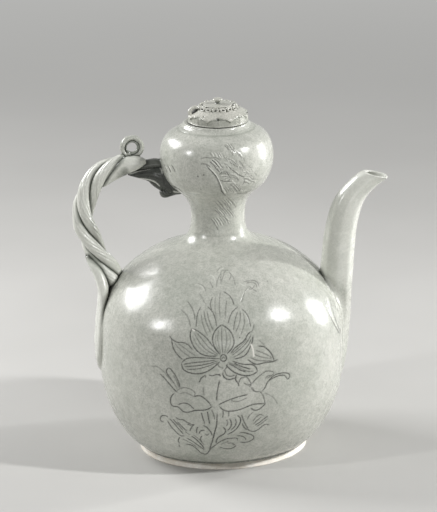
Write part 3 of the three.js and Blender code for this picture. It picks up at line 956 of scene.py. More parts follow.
def spout():
    """The bent tube with its bore and its cut, blunted lip."""
    stations, (lip_x, lip_z, _) = spout_line(SPOUT_STATIONS)
    depth = np.linalg.norm(stations[:, :2] - np.array([lip_x, lip_z]), axis=1)
    flare = LIP_FLARE * np.exp(-(depth / LIP_FLARE_REACH) ** 2)
    outside = cut_at_lip(spout_tube(stations, stations[:, 2] + flare), lip_x, lip_z)
    wall = np.interp(depth, [0, LIP_WALL_LENGTH], [LIP_WALL, SPOUT_WALL])
    bore = spout_tube(stations, stations[:, 2] - wall)
    bore[..., 0] += bore_shift(depth)[:, None]
    inside = cut_at_lip(bore, lip_x, lip_z)[:BORE_FIRST_ROW:-1]
    rim = (outside[-1] + inside[0]) / 2
    rim[:, 2] += LIP_RISE
    tube = np.concatenate([outside, rim[None], inside])
    beyond = np.maximum(tube[..., 0] - tube[..., 0].max() + LIP_POINT, 0)
    tube[..., 0] -= LIP_BLUNT * beyond
    made = piece("spout_tube", skin(tube), BODY_GLAZE, "vessel", ["spout"])
    hand_made(made, seed=11, depth=0.2, wavelength=30)
    meet_body(made, reach=5, outwards=1)
    points = points_of(made)
    # Painted shade in the crease where the spout meets the belly
    crease = 1.2 - np.abs(body_gap(points)) / 3.4
    above_root = np.interp(points[:, 2], ROOT_FADE_Z, [0, 1])
    mask(made, "line", crease * above_root)
    # Thin pale glaze, which paints the light on the spout
    mask(made, "thin", 0.6 * above_root)
    return made


SPOUT = spout()


# Rope handle

HANDLE_REACH = 55
ROLL_RADIUS = 5.7
ROLL_OFFSET = 5
ROPE_PITCH = 110
ROPE_PHASE = math.radians(200)
ROLL_COUNT = 3
HANDLE_FOOT_SHARE = 0.811
HANDLE_HEAD_SHARE = 0.511
ROPE_ROWS = 260
ROLL_COLUMNS = 112

# Places along the rope's middle line: [share of the way from its foot to its head, share of its
# reach outwards]
ROPE_SHARES = [
    [-0.1, -0.16], [0, 0], [0.11, 0.2], [0.23, 0.436], [0.43, 0.775], [0.62, 0.965], [0.76, 1],
    [0.88, 0.93], [0.96, 0.75], [0.995, 0.487],
]


def on_handle_side(z):
    """The body's outline on the handle's side (x, z)."""
    return np.array([-outline_radius(z), z])


HANDLE_FOOT = on_handle_side(FOOT_TOP + HANDLE_FOOT_SHARE * BELLY_HEIGHT)
HANDLE_HEAD = on_handle_side(BULB_Z + HANDLE_HEAD_SHARE * (COLLAR_Z - BULB_Z))


def rope_line(count):
    """Middle line (x, z) of the rope, from its foot to its head."""
    points = []
    for up, out in ROPE_SHARES:
        x, z = HANDLE_FOOT + up * (HANDLE_HEAD - HANDLE_FOOT)
        points.append((x - out * HANDLE_REACH, z))
    return spline(points, count)


ROPE = rope_line(ROPE_ROWS)
ROPE_END = ROPE[-1]


def furrowed(angle, furrows):
    """Depth of the furrows [angle, depth, width] at each angle of a section."""
    return sum(depth * np.exp(-((angle - middle) / width) ** 2) for middle, depth, width in furrows)


# Furrows along a roll's round back: [angle in its section, depth, width], and how far round they
# lie from one roll to the next
ROLL_FURROWS = [[-0.85, 0.4, 0.12], [-0.3, 0.28, 0.1], [0.2, 0.34, 0.1], [0.8, 0.45, 0.14]]
FURROW_STEP = 0.12

# Over what length a roll's head rounds off
ROLL_HEAD_ROUND = 6


def roll_section(number):
    """Section of one pressed roll: a round back with fine furrows, and two flats inside the rope."""
    half_wedge = math.pi / ROLL_COUNT
    flat = ROLL_OFFSET * math.cos(half_wedge)
    flat += math.sqrt(ROLL_RADIUS ** 2 - (ROLL_OFFSET * math.sin(half_wedge)) ** 2)
    span = math.atan2(flat * math.sin(half_wedge), flat * math.cos(half_wedge) - ROLL_OFFSET)
    back = arc((ROLL_OFFSET, 0), ROLL_RADIUS, -math.degrees(span), math.degrees(span), 60)
    closed = np.concatenate([[(0, 0)], back, [(0, 0)]])
    ring = softened(even(closed, ROLL_COLUMNS + 1)[:-1])
    from_middle = ring - [ROLL_OFFSET, 0]
    angle = np.arctan2(from_middle[:, 1], from_middle[:, 0])
    sunk = furrowed(angle - FURROW_STEP * number, ROLL_FURROWS)
    return ring - (sunk / ROLL_RADIUS)[:, None] * from_middle


def roll(number):
    """One of the twisted rolls, with its head rounded over."""
    length = lengths(ROPE)[-1]
    share = np.linspace(0, 1, len(ROPE))
    turn = ROPE_PHASE + 2 * math.pi * (number / ROLL_COUNT - length * share / ROPE_PITCH)
    from_head = length * (1 - share) / ROLL_HEAD_ROUND
    grown = np.sqrt(1 - np.clip(1 - from_head, 0, 0.92) ** 2)
    sections = roll_section(number) * grown[:, None, None]
    rings = swept(ROPE, turned_by(sections, turn[:, None]))
    name = f"roll_{number + 1}"
    made = piece(name, skin(rings), BODY_GLAZE, "vessel", [f"handle_{name}"])
    hand_made(made, seed=20 + number, depth=0.25, wavelength=26)
    meet_body(made, reach=3.5, outwards=-0.7)
    return made


ROLLS = [roll(number) for number in range(ROLL_COUNT)]


def oval_rings(stations, rows, columns, power=1):
    """Rings of ovals through stations (x, z, half depth, half width)."""
    path = spline(stations, rows)
    angle = round_angles(columns)
    cos = np.sign(np.cos(angle)) * np.abs(np.cos(angle)) ** power
    sin = np.sign(np.sin(angle)) * np.abs(np.sin(angle)) ** power
    sections = np.stack([path[:, 2:3] * cos, path[:, 3:4] * sin], axis=-1)
    return swept(path[:, :2], sections), path


TAIL_THICKNESS = 7.6
TAIL_WIDTH = 28
TAIL_ROWS = 170
TAIL_COLUMNS = 96

# Stations down a tail: [up, out, thickness, width], as shares of the belly's height and radius and
# of the tail's own sizes
TAIL_SHARES = [
    [0.948, 1.076, 0.6, 0.18], [0.905, 1.035, 1.1, 0.38], [0.86, 0.99, 1.35, 0.55],
    [0.82, 0.967, 1.4, 0.68], [0.775, 0.96, 1.3, 0.8], [0.722, 0.975, 1.1, 0.92],
    [0.676, 0.985, 1.05, 1], [0.621, 0.995, 1.05, 1.02], [0.575, 1.001, 1.05, 0.99],
    [0.529, 1.006, 1.05, 0.92], [0.48, 1.006, 1.05, 0.8], [0.436, 1.004, 1, 0.65],
    [0.4, 0.996, 0.85, 0.48], [0.376, 0.99, 0.55, 0.26], [0.366, 0.986, 0.25, 0.1],
]

# Furrows along a tail's outer face: [angle in its section, depth, width]
TAIL_FURROWS = [[0.35, 0.8, 0.2], [-0.75, 0.45, 0.16]]


def tail(side, name):
    """A flattened tail of the rope, wrapped round the belly beside the rope's plane."""
    stations = []
    for up, out, thick, wide in TAIL_SHARES:
        x, z = on_belly(up, out)
        stations.append((-x, z, thick * TAIL_THICKNESS / 2, wide * TAIL_WIDTH / 2))
    rings, path = oval_rings(stations, TAIL_ROWS, TAIL_COLUMNS, 0.85)
    turn = (side * path[:, 3] / path[:, 0])[:, None]
    shape = skin(turned_by(rings, turn))
    made = piece(name, shape, BODY_GLAZE, "vessel", [f"handle_{name}"])
    angle = round_angles(TAIL_COLUMNS)
    angle = np.arctan2(np.sin(angle), np.cos(angle)) * side
    ends = np.sin(math.pi * np.linspace(0, 1, TAIL_ROWS)) ** 0.4
    sunk = with_ends(np.outer(ends, furrowed(angle, TAIL_FURROWS)))
    press(made, -sunk)
    mask(made, "pool_and_shade", sunk * 1.2)
    hand_made(made, seed=30 + side, depth=0.25, wavelength=22)
    outwards = np.interp(points_of(made)[:, 2], FADING_Z, [0.9, -0.6])
    meet_body(made, reach=3, outwards=outwards)
    return made


TAILS = [tail(-1, "tail_front"), tail(1, "tail_back")]

# Branches at the rope's head: [share of the way to the bulb, drop as a share of the depth,
# half height, half width]
HEAD_DEPTH = 7.3
HEAD_WIDTH = 8
HEAD_SHARES = [
    [0.1, 0.05, 0.7, 0.8], [0.54, 0.26, 0.62, 0.8], [0.81, 0.12, 0.64, 0.75],
    [1.04, 0.16, 0.48, 0.65], [1.25, 0.2, 0.4, 0.6],
]
LEAF_DEPTH = 11
LEAF_WIDTH = 6.5
LEAF_DROP = 9.6
LEAF_SHARES = [
    [-0.08, 0, 0.14, 0.45], [0.3, 0.1, 0.4, 0.7], [0.66, 0.08, 0.72, 0.85],
    [0.92, 0.3, 0.98, 1], [1.18, 0.62, 1.08, 1], [1.36, 0.78, 1.08, 1], [1.66, 0.9, 0.98, 0.9],
]
TENDRIL_RADIUS = 4.5
TENDRIL_DROP = 28.2
TENDRIL_SHARES = [
    [0.98, -0.4, 0.4, 0.6], [1.1, 0, 1, 1], [1.28, 0.15, 0.72, 0.72], [1.5, 0.1, 0.55, 0.5],
    [1.76, -0.15, 0.5, 0.45],
]

# The front roll's tip, which lies over the branches: [x, z, half height, half width]
TIP_SIDE = -4.5
TIP_STATIONS = [
    [-103, 246.5, 1, 1.2], [-98, 251.5, 3.6, 3], [-91, 258.4, 6.2, 4.6], [-84.5, 263.3, 7.6, 5.6],
    [-78, 266.2, 7.6, 6.2], [-72, 267.3, 6.4, 5.8], [-67, 268.1, 4.3, 5], [-63.4, 268.5, 1.8, 2.6],
]


def branch(name, shares, drop, depth, width, seed):
    """A limb from the rope's head to the upper bulb."""
    stations = [
        (ROPE_END[0] + along * (HANDLE_HEAD[0] - ROPE_END[0]), ROPE_END[1] - drop - down * depth,
         high * depth, wide * width)
        for along, down, high, wide in shares
    ]
    rings, _ = oval_rings(stations, 120, 72)
    made = piece(name, skin(rings), BODY_GLAZE, "vessel", [f"handle_{name}"])
    hand_made(made, seed=seed, depth=0.3, wavelength=16)
    meet_body(made, reach=1.6, outwards=1)
    return made


HEAD_BRANCH = branch("head_branch", HEAD_SHARES, 0, HEAD_DEPTH, HEAD_WIDTH, 40)
LEAF_BRANCH = branch("leaf_branch", LEAF_SHARES, LEAF_DROP, LEAF_DEPTH, LEAF_WIDTH, 41)
TENDRIL = branch("tendril", TENDRIL_SHARES, TENDRIL_DROP, TENDRIL_RADIUS, TENDRIL_RADIUS, 42)


def strand_tip():
    """The flattened tip in which the front roll ends, over the root of the branches."""
    rings, _ = oval_rings(TIP_STATIONS, 90, 72, 0.9)
    rings[..., 1] += TIP_SIDE
    made = piece("strand_tip", skin(rings), BODY_GLAZE, "vessel", ["handle_head_branch"])
    hand_made(made, seed=43, depth=0.3, wavelength=14)
    return made


STRAND_TIP = strand_tip()


def upright_ring(half_width, half_height, rod_depth, rod_width, rows, columns):
    """A ring of rod about an axis along Y; the rod is rod_width along that axis."""
    around = round_angles(rows)[:, None]
    section = round_angles(columns)
    out = rod_depth * np.cos(section)
    return np.stack([
        (half_width + out) * np.cos(around),
        rod_width * np.sin(section) + 0 * around,
        (half_height + out) * np.sin(around),
    ], axis=-1)


LOOP_RADIUS = 11
LOOP_ROD = 2.3
LOOP_WIDTH = 2.9
INNER_LOOP_RADIUS = 5.6
INNER_LOOP_ROD = 1.25
INNER_LOOP_WIDTH = 1.9
LOOP_TURN = math.radians(12)

# Radius of the seam between the two rings, and the one inside which shade is painted
LOOP_SEAM_RADIUS = 6.6
LOOP_SHADE_RADIUS = 6.9

# Drip of glaze down the front of the loop, from its eye to its foot: [x, z, depth, width]
DRIP_STATIONS = [
    [-81.2, 280.6, 0.5, 0.5], [-79.8, 278, 1, 0.9], [-78.6, 275.5, 1.2, 1.1], [-77.4, 273, 0.8, 0.8],
]
DRIP_SIDE = -2.9


def cord_loop():
    """A thick ring with a thinner one inside it."""
    low, high = corners("handle_cord_loop")
    middle = np.array([(low[0] + high[0]) / 2, 0, high[2] + 0.5 - LOOP_RADIUS])
    rod_middle = LOOP_RADIUS - LOOP_ROD
    outer = upright_ring(rod_middle, rod_middle, LOOP_ROD, LOOP_WIDTH, 120, 48)
    inner = upright_ring(
        INNER_LOOP_RADIUS, INNER_LOOP_RADIUS, INNER_LOOP_ROD, INNER_LOOP_WIDTH, 96, 32)
    shapes = [skin(turned_by(rings, LOOP_TURN) + middle, joined=True) for rings in (outer, inner)]
    drip, _ = oval_rings(DRIP_STATIONS, 24, 16)
    shapes.append(skin(drip + [0, DRIP_SIDE, 0]))
    made = piece("cord_loop", joined_skins(*shapes), BODY_GLAZE, "vessel", ["handle_cord_loop"])
    hand_made(made, seed=51, depth=0.22, wavelength=9)
    reach = np.linalg.norm(points_of(made) - middle, axis=1)
    # Painted shade in the seam between the rings and inside the eye
    mask(made, "line", 0.9 * np.exp(-((reach - LOOP_SEAM_RADIUS) / 0.45) ** 2))
    inside = np.clip((LOOP_SHADE_RADIUS - reach) / 0.6, 0, 1)
    mask(made, "pool_and_shade", inside)
    mask(made, "dark", 0.3 * inside)
    return made


CORD_LOOP = cord_loop()


# Lid

LID_X = (corners("lid_dome")[0][0] + corners("lid_dome")[1][0]) / 2
LID_Z = corners("lid_cap")[0][2]
LID_TOP_Z = corners("lid_cap")[1][2]
LID_RADIUS = corners("lid_cap")[1][1]
CALYX_TOP_Z = corners("lid_calyx")[1][2]
CALYX_RADIUS = corners("lid_calyx")[1][1]
DOME_TOP_Z = corners("lid_dome")[1][2]
DOME_RADIUS = corners("lid_dome")[1][1]
KNOB_TOP_Z = corners("lid_knob")[1][2]
KNOB_RADIUS = corners("lid_knob")[1][1]
LID_WALL_HEIGHT = 7.4
LID_TOP_RADIUS = 19.5
LID_HOLLOW_RADIUS = 23
LID_CROWN_THICKNESS = 4.5
CALYX_LOBES = 16
PETALS = 8
PETAL_TURN = math.radians(21)
CURL_TURN = math.radians(4)
CURL_LEAN = math.radians(35)
CURL_HALF_WIDTH = 2.1
CURL_HALF_HEIGHT = 1.85
CURL_ROD = 0.92
CURL_LENGTH = 1.3
LID_LOOP_HALF_WIDTH = 5.4
LID_LOOP_HALF_HEIGHT = 4.3
LID_LOOP_ROD = 1.7
LID_LOOP_X = -20.4
LID_LOOP_TURN = math.radians(13)
LID_COLUMNS = 384
LID_CORE_RADIUS = 5
LID_SHIFT = [LID_X, 0, 0]

# Petals of the cap: how far up its wall a petal's border lies at its sides, how much higher its
# point is and how sharp, how deep it is carved, and how high its border and its vein stand
PETAL_SIDE = 4.6
PETAL_RISE = 5.8
PETAL_POWER = 1.7
PETAL_DEPTH = 1.2
PETAL_BORDER = 0.6
PETAL_VEIN = 0.35
PETAL_END = 14


def lid_loop_eye(z):
    """The middle of the lid's cord loop, at a height."""
    return turned_by(np.array([LID_LOOP_X, 0, z]), LID_LOOP_TURN) + LID_SHIFT


def cap_profiles():
    """Profiles of the cap's hollow and of its outside, which follows on."""
    shoulder_z = LID_Z + LID_WALL_HEIGHT
    ceiling_z = LID_TOP_Z - LID_CROWN_THICKNESS
    edge = 1.4
    outer = np.concatenate([
        arc((LID_RADIUS - 0.8, LID_Z + 0.8), 0.8, -90, 0, 6),
        line((LID_RADIUS, LID_Z + 1.1), (LID_RADIUS, shoulder_z - edge), 16),
        arc((LID_RADIUS - edge, shoulder_z - edge), edge, 0, 60, 8),
        line((LID_RADIUS - 1.6 * edge, shoulder_z + 0.2), (LID_TOP_RADIUS, LID_TOP_Z), 22),
        line((LID_TOP_RADIUS, LID_TOP_Z), (LID_CORE_RADIUS, LID_TOP_Z), 8),
    ])
    inner = np.concatenate([
        line((LID_CORE_RADIUS, ceiling_z), (LID_HOLLOW_RADIUS - 1, ceiling_z), 8),
        line((LID_HOLLOW_RADIUS, ceiling_z - 1), (LID_HOLLOW_RADIUS, LID_Z + 0.4), 6),
        line((LID_HOLLOW_RADIUS + 0.4, LID_Z), (LID_RADIUS - 1, LID_Z), 4),
    ])
    return inner, outer


def petals(up):
    """Relief of the petals at each distance up the cap's wall, and the shade painted in its hollows."""
    place = (round_angles(LID_COLUMNS) + PETAL_TURN) * PETALS / (2 * math.pi) % 1 * 2 - 1
    border = PETAL_SIDE + PETAL_RISE * (1 - np.abs(place) ** PETAL_POWER) - up
    sunk = 1 / (1 + np.exp(-border / 0.28))
    hollow = PETAL_DEPTH * sunk - PETAL_BORDER * np.exp(-(border / 0.6) ** 2)
    vein = PETAL_VEIN * np.exp(-(place * 10) ** 2) * np.clip(border / 3, 0, 1)
    fade = np.clip(up / 1.5, 0, 1) * np.clip((PETAL_END - up) / 3, 0, 1)
    under_border = np.exp(-((border - 0.8) / 0.7) ** 2)
    return (vein - hollow) * fade, (under_border + 0.6 * sunk) * fade


def shade_cap(made):
    """Darkens the cap's lower edge, a ring under the calyx and the place seen through the loop."""
    points = points_of(made)
    mask(made, "line", (LID_Z + 0.6 - points[:, 2]) / 0.5)
    from_calyx = np.hypot(points[:, 0] - LID_X, points[:, 1]) - CALYX_RADIUS
    ring = np.exp(-(from_calyx / 1.3) ** 2) * (points[:, 2] > LID_Z + LID_WALL_HEIGHT)
    mask(made, "pool_and_shade", ring)
    mask(made, "line", 0.5 * ring)
    eye = lid_loop_eye(0)
    behind = points[:, 1] - eye[1]
    from_eye = np.hypot(points[:, 0] - eye[0], behind * np.where(behind > 0, 0.45, 1))
    for name in ("line", "dark"):
        mask(made, name, (5.4 - from_eye) / 1.6 * (points[:, 2] > LID_Z + 3))


def lid_cap():
    """The cap, with ogee petals carved into its wall and shoulder."""
    inner, outer = cap_profiles()
    rings = turned(np.concatenate([inner, outer]), LID_COLUMNS)
    made = piece("cap", skin(rings + LID_SHIFT), LID_GLAZE, "lid", ["lid_cap"])
    below = np.full(len(inner), -9)
    relief, pool_and_shade = petals(np.concatenate([below, lengths(outer)])[:, None])
    press(made, with_ends(relief))
    # Painted shade in the petals' hollows and under their borders
    mask(made, "pool_and_shade", with_ends(pool_and_shade))
    hand_made(made, seed=60, depth=0.12, wavelength=11)
    shade_cap(made)
    return made


def lid_calyx():
    """Scalloped disc, with a small curled tip on each of its lobes."""
    mid_z = (LID_TOP_Z + CALYX_TOP_Z) / 2
    half = (CALYX_TOP_Z - LID_TOP_Z) / 2
    profile = np.concatenate([
        line((LID_CORE_RADIUS, LID_TOP_Z), (CALYX_RADIUS - 3, LID_TOP_Z), 5),
        arc((CALYX_RADIUS - half, mid_z), half, -90, 90, 18),
        line((CALYX_RADIUS - half - 0.6, CALYX_TOP_Z), (LID_CORE_RADIUS, CALYX_TOP_Z), 12),
    ])
    rings = turned(profile, LID_COLUMNS)
    place = (round_angles(LID_COLUMNS) - CURL_TURN) * CALYX_LOBES / (2 * math.pi) % 1 * 2 - 1
    radius = profile[:, :1]
    lobe = np.sqrt(1 - np.clip(np.abs(place), 0, 0.96) ** 2)
    rim = np.clip((radius - CALYX_RADIUS + 5) / 5, 0, 1)
    rings[..., :2] *= (1 - rim * (0.3 + 1.5 * (1 - lobe)) / radius)[..., None]
    rings[..., 2] += 0.45 * rim * lobe * (profile[:, 1:] > mid_z) * np.sin(rim * math.pi / 2)
    curls = [skin(curl(number), joined=True) for number in range(CALYX_LOBES)]
    shapes = [skin(rings + LID_SHIFT), *curls]
    made = piece("calyx", joined_skins(*shapes), LID_GLAZE, "lid", ["lid_calyx"])
    # Pooled glaze and painted shade in the creases between the lobes
    crease = (rim * np.clip((np.abs(place) - 0.75) / 0.25, 0, 1)).ravel()
    points = points_of(made)
    pool_and_shade = np.zeros(len(points))
    pool_and_shade[:len(crease)] = crease
    mask(made, "pool_and_shade", pool_and_shade)
    # Painted shade in the curls' eyes and where the dome stands on the calyx
    hollow = 1.4 - np.min([np.linalg.norm(points - spot, axis=1) for spot in curl_spots()], axis=0)
    mask(made, "line", hollow / 0.5)
    from_dome = np.hypot(points[:, 0] - LID_X, points[:, 1]) - DOME_RADIUS
    mask(made, "line", np.exp(-((from_dome - 0.2) / 0.65) ** 2) * (points[:, 2] > mid_z))
    hand_made(made, seed=61, depth=0.12, wavelength=7)


def curl_spots():
    """Middles of the curled tips round the calyx."""
    turns = CURL_TURN + round_angles(CALYX_LOBES) + math.pi / CALYX_LOBES
    reach = CALYX_RADIUS - 0.9
    return np.stack([
        LID_X + reach * np.cos(turns), reach * np.sin(turns), 0 * turns + LID_TOP_Z + 1,
    ], axis=1)


def curl(number):
    """One curled tip: a small ring that faces outwards and a little up."""
    rings = upright_ring(CURL_HALF_WIDTH, CURL_HALF_HEIGHT, CURL_ROD, CURL_LENGTH, 28, 16)
    turned_by(rings, CURL_LEAN, 1, 2)
    rings[..., 2] *= 1 + 0.15 * math.sin(3 * number)
    turn = CURL_TURN + 2 * math.pi * (number + 0.5) / CALYX_LOBES
    return turned_by(rings, turn - math.pi / 2) + curl_spots()[number]


def lid_dome():
    """The low dome on the calyx."""
    height = DOME_TOP_Z - CALYX_TOP_Z
    profile = np.concatenate([
        line((3, CALYX_TOP_Z), (DOME_RADIUS - 0.9, CALYX_TOP_Z), 5),
        arc((DOME_RADIUS - 0.6, CALYX_TOP_Z + 0.5), 0.5, -90, 60, 8),
        spline([(DOME_RADIUS - 0.9, CALYX_TOP_Z + 0.95), (8, DOME_TOP_Z), (2, DOME_TOP_Z + 0.2)], 14),
    ])
    made = piece("dome", skin(turned(profile, 160) + LID_SHIFT), LID_GLAZE, "lid", ["lid_dome"])
    # Painted shade where the dome stands on the calyx
    mask(made, "line", (CALYX_TOP_Z + 0.55 - points_of(made)[:, 2]) / height)
    hand_made(made, seed=62, depth=0.1, wavelength=8)


def lid_knob():
    """The stem and the flattened button on the dome."""
    stem = 2.2
    button = 1.7
    middle_z = KNOB_TOP_Z - button
    round_angle = np.radians(np.linspace(-62, 86, 20))
    button_profile = np.stack([
        KNOB_RADIUS * np.cos(round_angle), middle_z + button * np.sin(round_angle)], axis=1)
    profile = np.concatenate([
        line((stem * 0.3, DOME_TOP_Z - 0.2), (stem + 0.9, DOME_TOP_Z - 0.2), 3),
        spline([(stem + 0.9, DOME_TOP_Z), (stem, DOME_TOP_Z + 1), (stem, middle_z - button)], 8),
        button_profile,
    ])
    made = piece("knob", skin(turned(profile, 72) + LID_SHIFT), LID_GLAZE, "lid", ["lid_knob"])
    shaded = (middle_z - button + 0.5 - points_of(made)[:, 2]) / 0.8
    mask(made, "pool_and_shade", shaded)
    mask(made, "line", 0.75 * np.clip(shaded, 0, 1))
    hand_made(made, seed=63, depth=0.15, wavelength=5)


def lid_loop():
    """The cord loop on the lid's shoulder, with the pillar that parts its eye."""
    rod = LID_LOOP_ROD
    middle_z = LID_Z + LID_WALL_HEIGHT + rod
    ring = upright_ring(LID_LOOP_HALF_WIDTH, LID_LOOP_HALF_HEIGHT, rod, 1.15 * rod, 72, 24)
    post_x = 0.1 * LID_LOOP_HALF_WIDTH
    post = [
        (post_x - 0.6, -rod, 0.5 * rod, 0.7 * rod),
        (post_x, 1.5, 0.42 * rod, 0.6 * rod),
        (post_x + 0.5, LID_LOOP_HALF_HEIGHT, 0.65 * rod, 0.9 * rod),
    ]
    pillar, _ = oval_rings(post, 20, 16)
    shapes = []
    for rings, joined in ((ring, True), (pillar, False)):
        rings += [LID_LOOP_X, 0, middle_z]
        shapes.append(skin(turned_by(rings, LID_LOOP_TURN) + LID_SHIFT, joined))
    made = piece("lid_loop", joined_skins(*shapes), LID_GLAZE, "lid", ["lid_cord_loop"])
    # Painted shade in the loop's eye
    from_eye = np.linalg.norm(points_of(made) - lid_loop_eye(middle_z), axis=1)
    for name in ("line", "dark"):
        mask(made, name, (LID_LOOP_HALF_HEIGHT - rod + 1.1 - from_eye) / 0.8)
    hand_made(made, seed=64, depth=0.2, wavelength=6)


def lid_flange():
    """The ring under the cap that drops into the mouth."""
    low, high = corners("lid_flange")
    outer = (high[1] - low[1]) / 2
    inner = outer - 3.5
    edge = 0.9
    profile = np.concatenate([
        line((inner, high[2] - 0.05), (inner, low[2] + edge), 8),
        arc((inner + edge, low[2] + edge), edge, 180, 270, 6),
        arc((outer - edge, low[2] + edge), edge, 270, 360, 6),
        line((outer, low[2] + edge + 0.3), (outer, high[2] - 0.05), 8),
        line((outer - 0.3, high[2] - 0.05), (inner + 0.3, high[2] - 0.05), 3),
    ])
    shape = skin(turned(profile, 144) + LID_SHIFT, joined=True)
    made = piece("flange", shape, LID_GLAZE, "lid", ["lid_flange"])
    hand_made(made, seed=65, depth=0.12, wavelength=12)


def shade_lid_seat():
    """Paints shade on the mouth's rim where the lid lies on it."""
    points = points_of(VESSEL)
    from_edge = LID_RADIUS + 0.7 - np.hypot(points[:, 0] - LID_X, points[:, 1])
    at_rim = 1 - np.abs(points[:, 2] - RIM_Z) / 0.4
    mask(VESSEL, "line", np.clip(from_edge / 0.6, 0, 1) * np.clip(at_rim, 0, 1))


LID_CAP = lid_cap()
lid_calyx()
lid_dome()
lid_knob()
lid_loop()
lid_flange()
shade_lid_seat()


# Incised lines, read as places in enlarged crops of the photograph. Each drawing has the crop's
# corner in pixels, its enlargement, and strokes of [weight, place, place ...]. A weight below 0 is
# a raised line, whose thin glaze is painted pale, partly as a painted highlight.

BLOSSOM = [(150, 290), 8.713, [
    # Middle petal
    [0.9, (612, 560), (575, 520), (549, 462), (545, 415), (562, 365), (595, 325), (625, 303)],
    [0.9, (668, 558), (713, 510), (732, 460), (722, 405), (700, 362), (665, 328), (625, 303)],
    [0.5, (625, 322), (624, 400), (628, 480), (634, 555)],
    [0.4, (597, 352), (590, 420), (602, 500), (620, 560)],
    [0.4, (655, 345), (668, 420), (660, 500), (648, 556)],
    [0.3, (575, 390), (570, 440), (585, 500), (607, 545)],
    [0.3, (690, 380), (700, 440), (688, 500), (664, 545)],
    # Inner left petal
    [1, (362, 338), (350, 400), (364, 460), (398, 518), (448, 560), (512, 577), (585, 577)],
    [0.7, (362, 338), (402, 350), (450, 383), (496, 424), (538, 478), (572, 522), (606, 565)],
    [0.5, (385, 375), (420, 440), (465, 500), (525, 545), (590, 572)],
    [0.5, (400, 365), (450, 425), (500, 490), (552, 535), (598, 568)],
    [0.3, (372, 400), (400, 465), (445, 520), (505, 560)],
    # Outer left petal
    [0.8, (172, 402), (186, 425), (195, 478), (214, 528), (248, 574), (282, 602)],
    [0.7, (186, 425), (236, 455), (292, 460), (335, 482), (368, 520)],
    [0.4, (215, 462), (250, 505), (300, 550), (350, 585)],
    [0.4, (245, 470), (300, 505), (352, 545), (400, 575)],
    # Lower left petal
    [1, (275, 635), (286, 685), (340, 719), (402, 731), (470, 721), (530, 692), (580, 652), (607, 625)],
    [0.8, (275, 635), (312, 603), (372, 590), (432, 590), (500, 594), (565, 598), (610, 600)],
    [0.7, (292, 648), (350, 638), (420, 630), (500, 622), (572, 612)],
    [0.7, (300, 668), (372, 664), (448, 655), (520, 640), (585, 620)],
    [0.6, (322, 692), (392, 690), (460, 678), (528, 656), (590, 632)],
    # Lower right petal
    [1.2, (662, 655), (705, 697), (762, 731), (832, 747), (893, 738), (938, 710)],
    [0.9, (716, 622), (778, 640), (842, 650), (902, 655), (927, 682), (938, 710)],
    [1.1, (690, 645), (742, 672), (790, 700), (835, 713)],
    [1.1, (735, 640), (792, 665), (845, 682), (872, 690)],
    [0.5, (680, 630), (740, 655), (800, 688), (860, 710), (905, 705)],
    # Inner right petal
    [0.9, (704, 552), (738, 508), (790, 468), (832, 425), (850, 390), (876, 364)],
    [0.9, (735, 600), (790, 590), (838, 560), (872, 500), (893, 440), (897, 395)],
    [0.6, (715, 570), (768, 530), (820, 482), (860, 430), (880, 390)],
    [0.6, (722, 588), (778, 560), (826, 520), (862, 470), (884, 420)],
    [0.5, (712, 556), (762, 512), (812, 466), (850, 418)],
    # Outer right petal
    [1, (944, 490), (990, 495), (1035, 528), (1065, 570), (1080, 610)],
    [1, (850, 606), (885, 630), (912, 645), (955, 645), (1005, 633), (1062, 625), (1112, 608)],
    [0.6, (875, 590), (925, 610), (985, 618), (1060, 616)],
    [0.5, (905, 560), (955, 580), (1010, 592), (1062, 600)],
    [0.5, (925, 528), (975, 545), (1025, 568), (1062, 590)],
    # Back petals
    [0.6, (442, 148), (415, 205), (406, 262), (402, 322)],
    [0.6, (502, 145), (538, 182), (560, 222), (574, 276), (580, 318)],
    [0.5, (470, 180), (480, 245), (502, 310), (528, 372)],
    [0.4, (445, 205), (452, 262), (470, 330), (500, 395)],
    [0.5, (498, 190), (510, 250), (532, 312), (552, 350)],
    [0.6, (765, 146), (716, 194), (694, 240), (680, 292)],
    [0.6, (798, 163), (845, 214), (866, 270), (876, 322)],
    [0.5, (785, 190), (785, 252), (768, 318), (746, 368)],
    [0.5, (762, 190), (744, 250), (732, 310), (728, 350)],
    [0.4, (812, 205), (822, 262), (812, 330), (790, 392)],
    [0.5, (330, 100), (368, 162), (386, 212), (392, 262)],
    [0.4, (272, 172), (312, 212), (340, 262), (352, 320)],
    [0.4, (950, 440), (985, 470), (1010, 500)],
    [0.4, (905, 300), (892, 352), (880, 372)],
    # Back middle petal, which reaches the shoulder
    [0.5, (545, 64), (526, 122), (540, 180)],
    [0.6, (640, 14), (700, 58), (732, 128)],
    [0.4, (612, 20), (604, 110), (610, 230)],
    [0.4, (668, 90), (660, 160), (655, 250)],
    [0.3, (570, 60), (566, 150), (580, 250)],
    [0.35, (616, -60), (640, -130), (664, -172), (700, -150), (728, -100), (742, -40)],
    [0.3, (575, -20), (590, -90), (620, -150)],
    # Seed head and stamens
    [0.9, (612, 592), (628, 566), (655, 570), (666, 596), (650, 620), (624, 618), (612, 592)],
    [0.6, (628, 600), (640, 585), (652, 600)],
    [0.9, (430, 802), (444, 772), (474, 750)],
    [0.9, (478, 744), (484, 758)],
    [0.9, (516, 742), (545, 748), (574, 738), (606, 742)],
    [0.8, (604, 735), (612, 750)],
    [1.2, (636, 722), (638, 748), (660, 772), (690, 782), (720, 774), (748, 768)],
    [0.7, (650, 700), (668, 742), (704, 752), (738, 742)],
    [1.2, (752, 740), (746, 784), (762, 806), (774, 836)],
    [0.8, (800, 762), (782, 784), (774, 806)],
    [0.6, (590, 640), (600, 665), (640, 682)],
    [0.7, (672, 650), (660, 684), (640, 705)],
]]

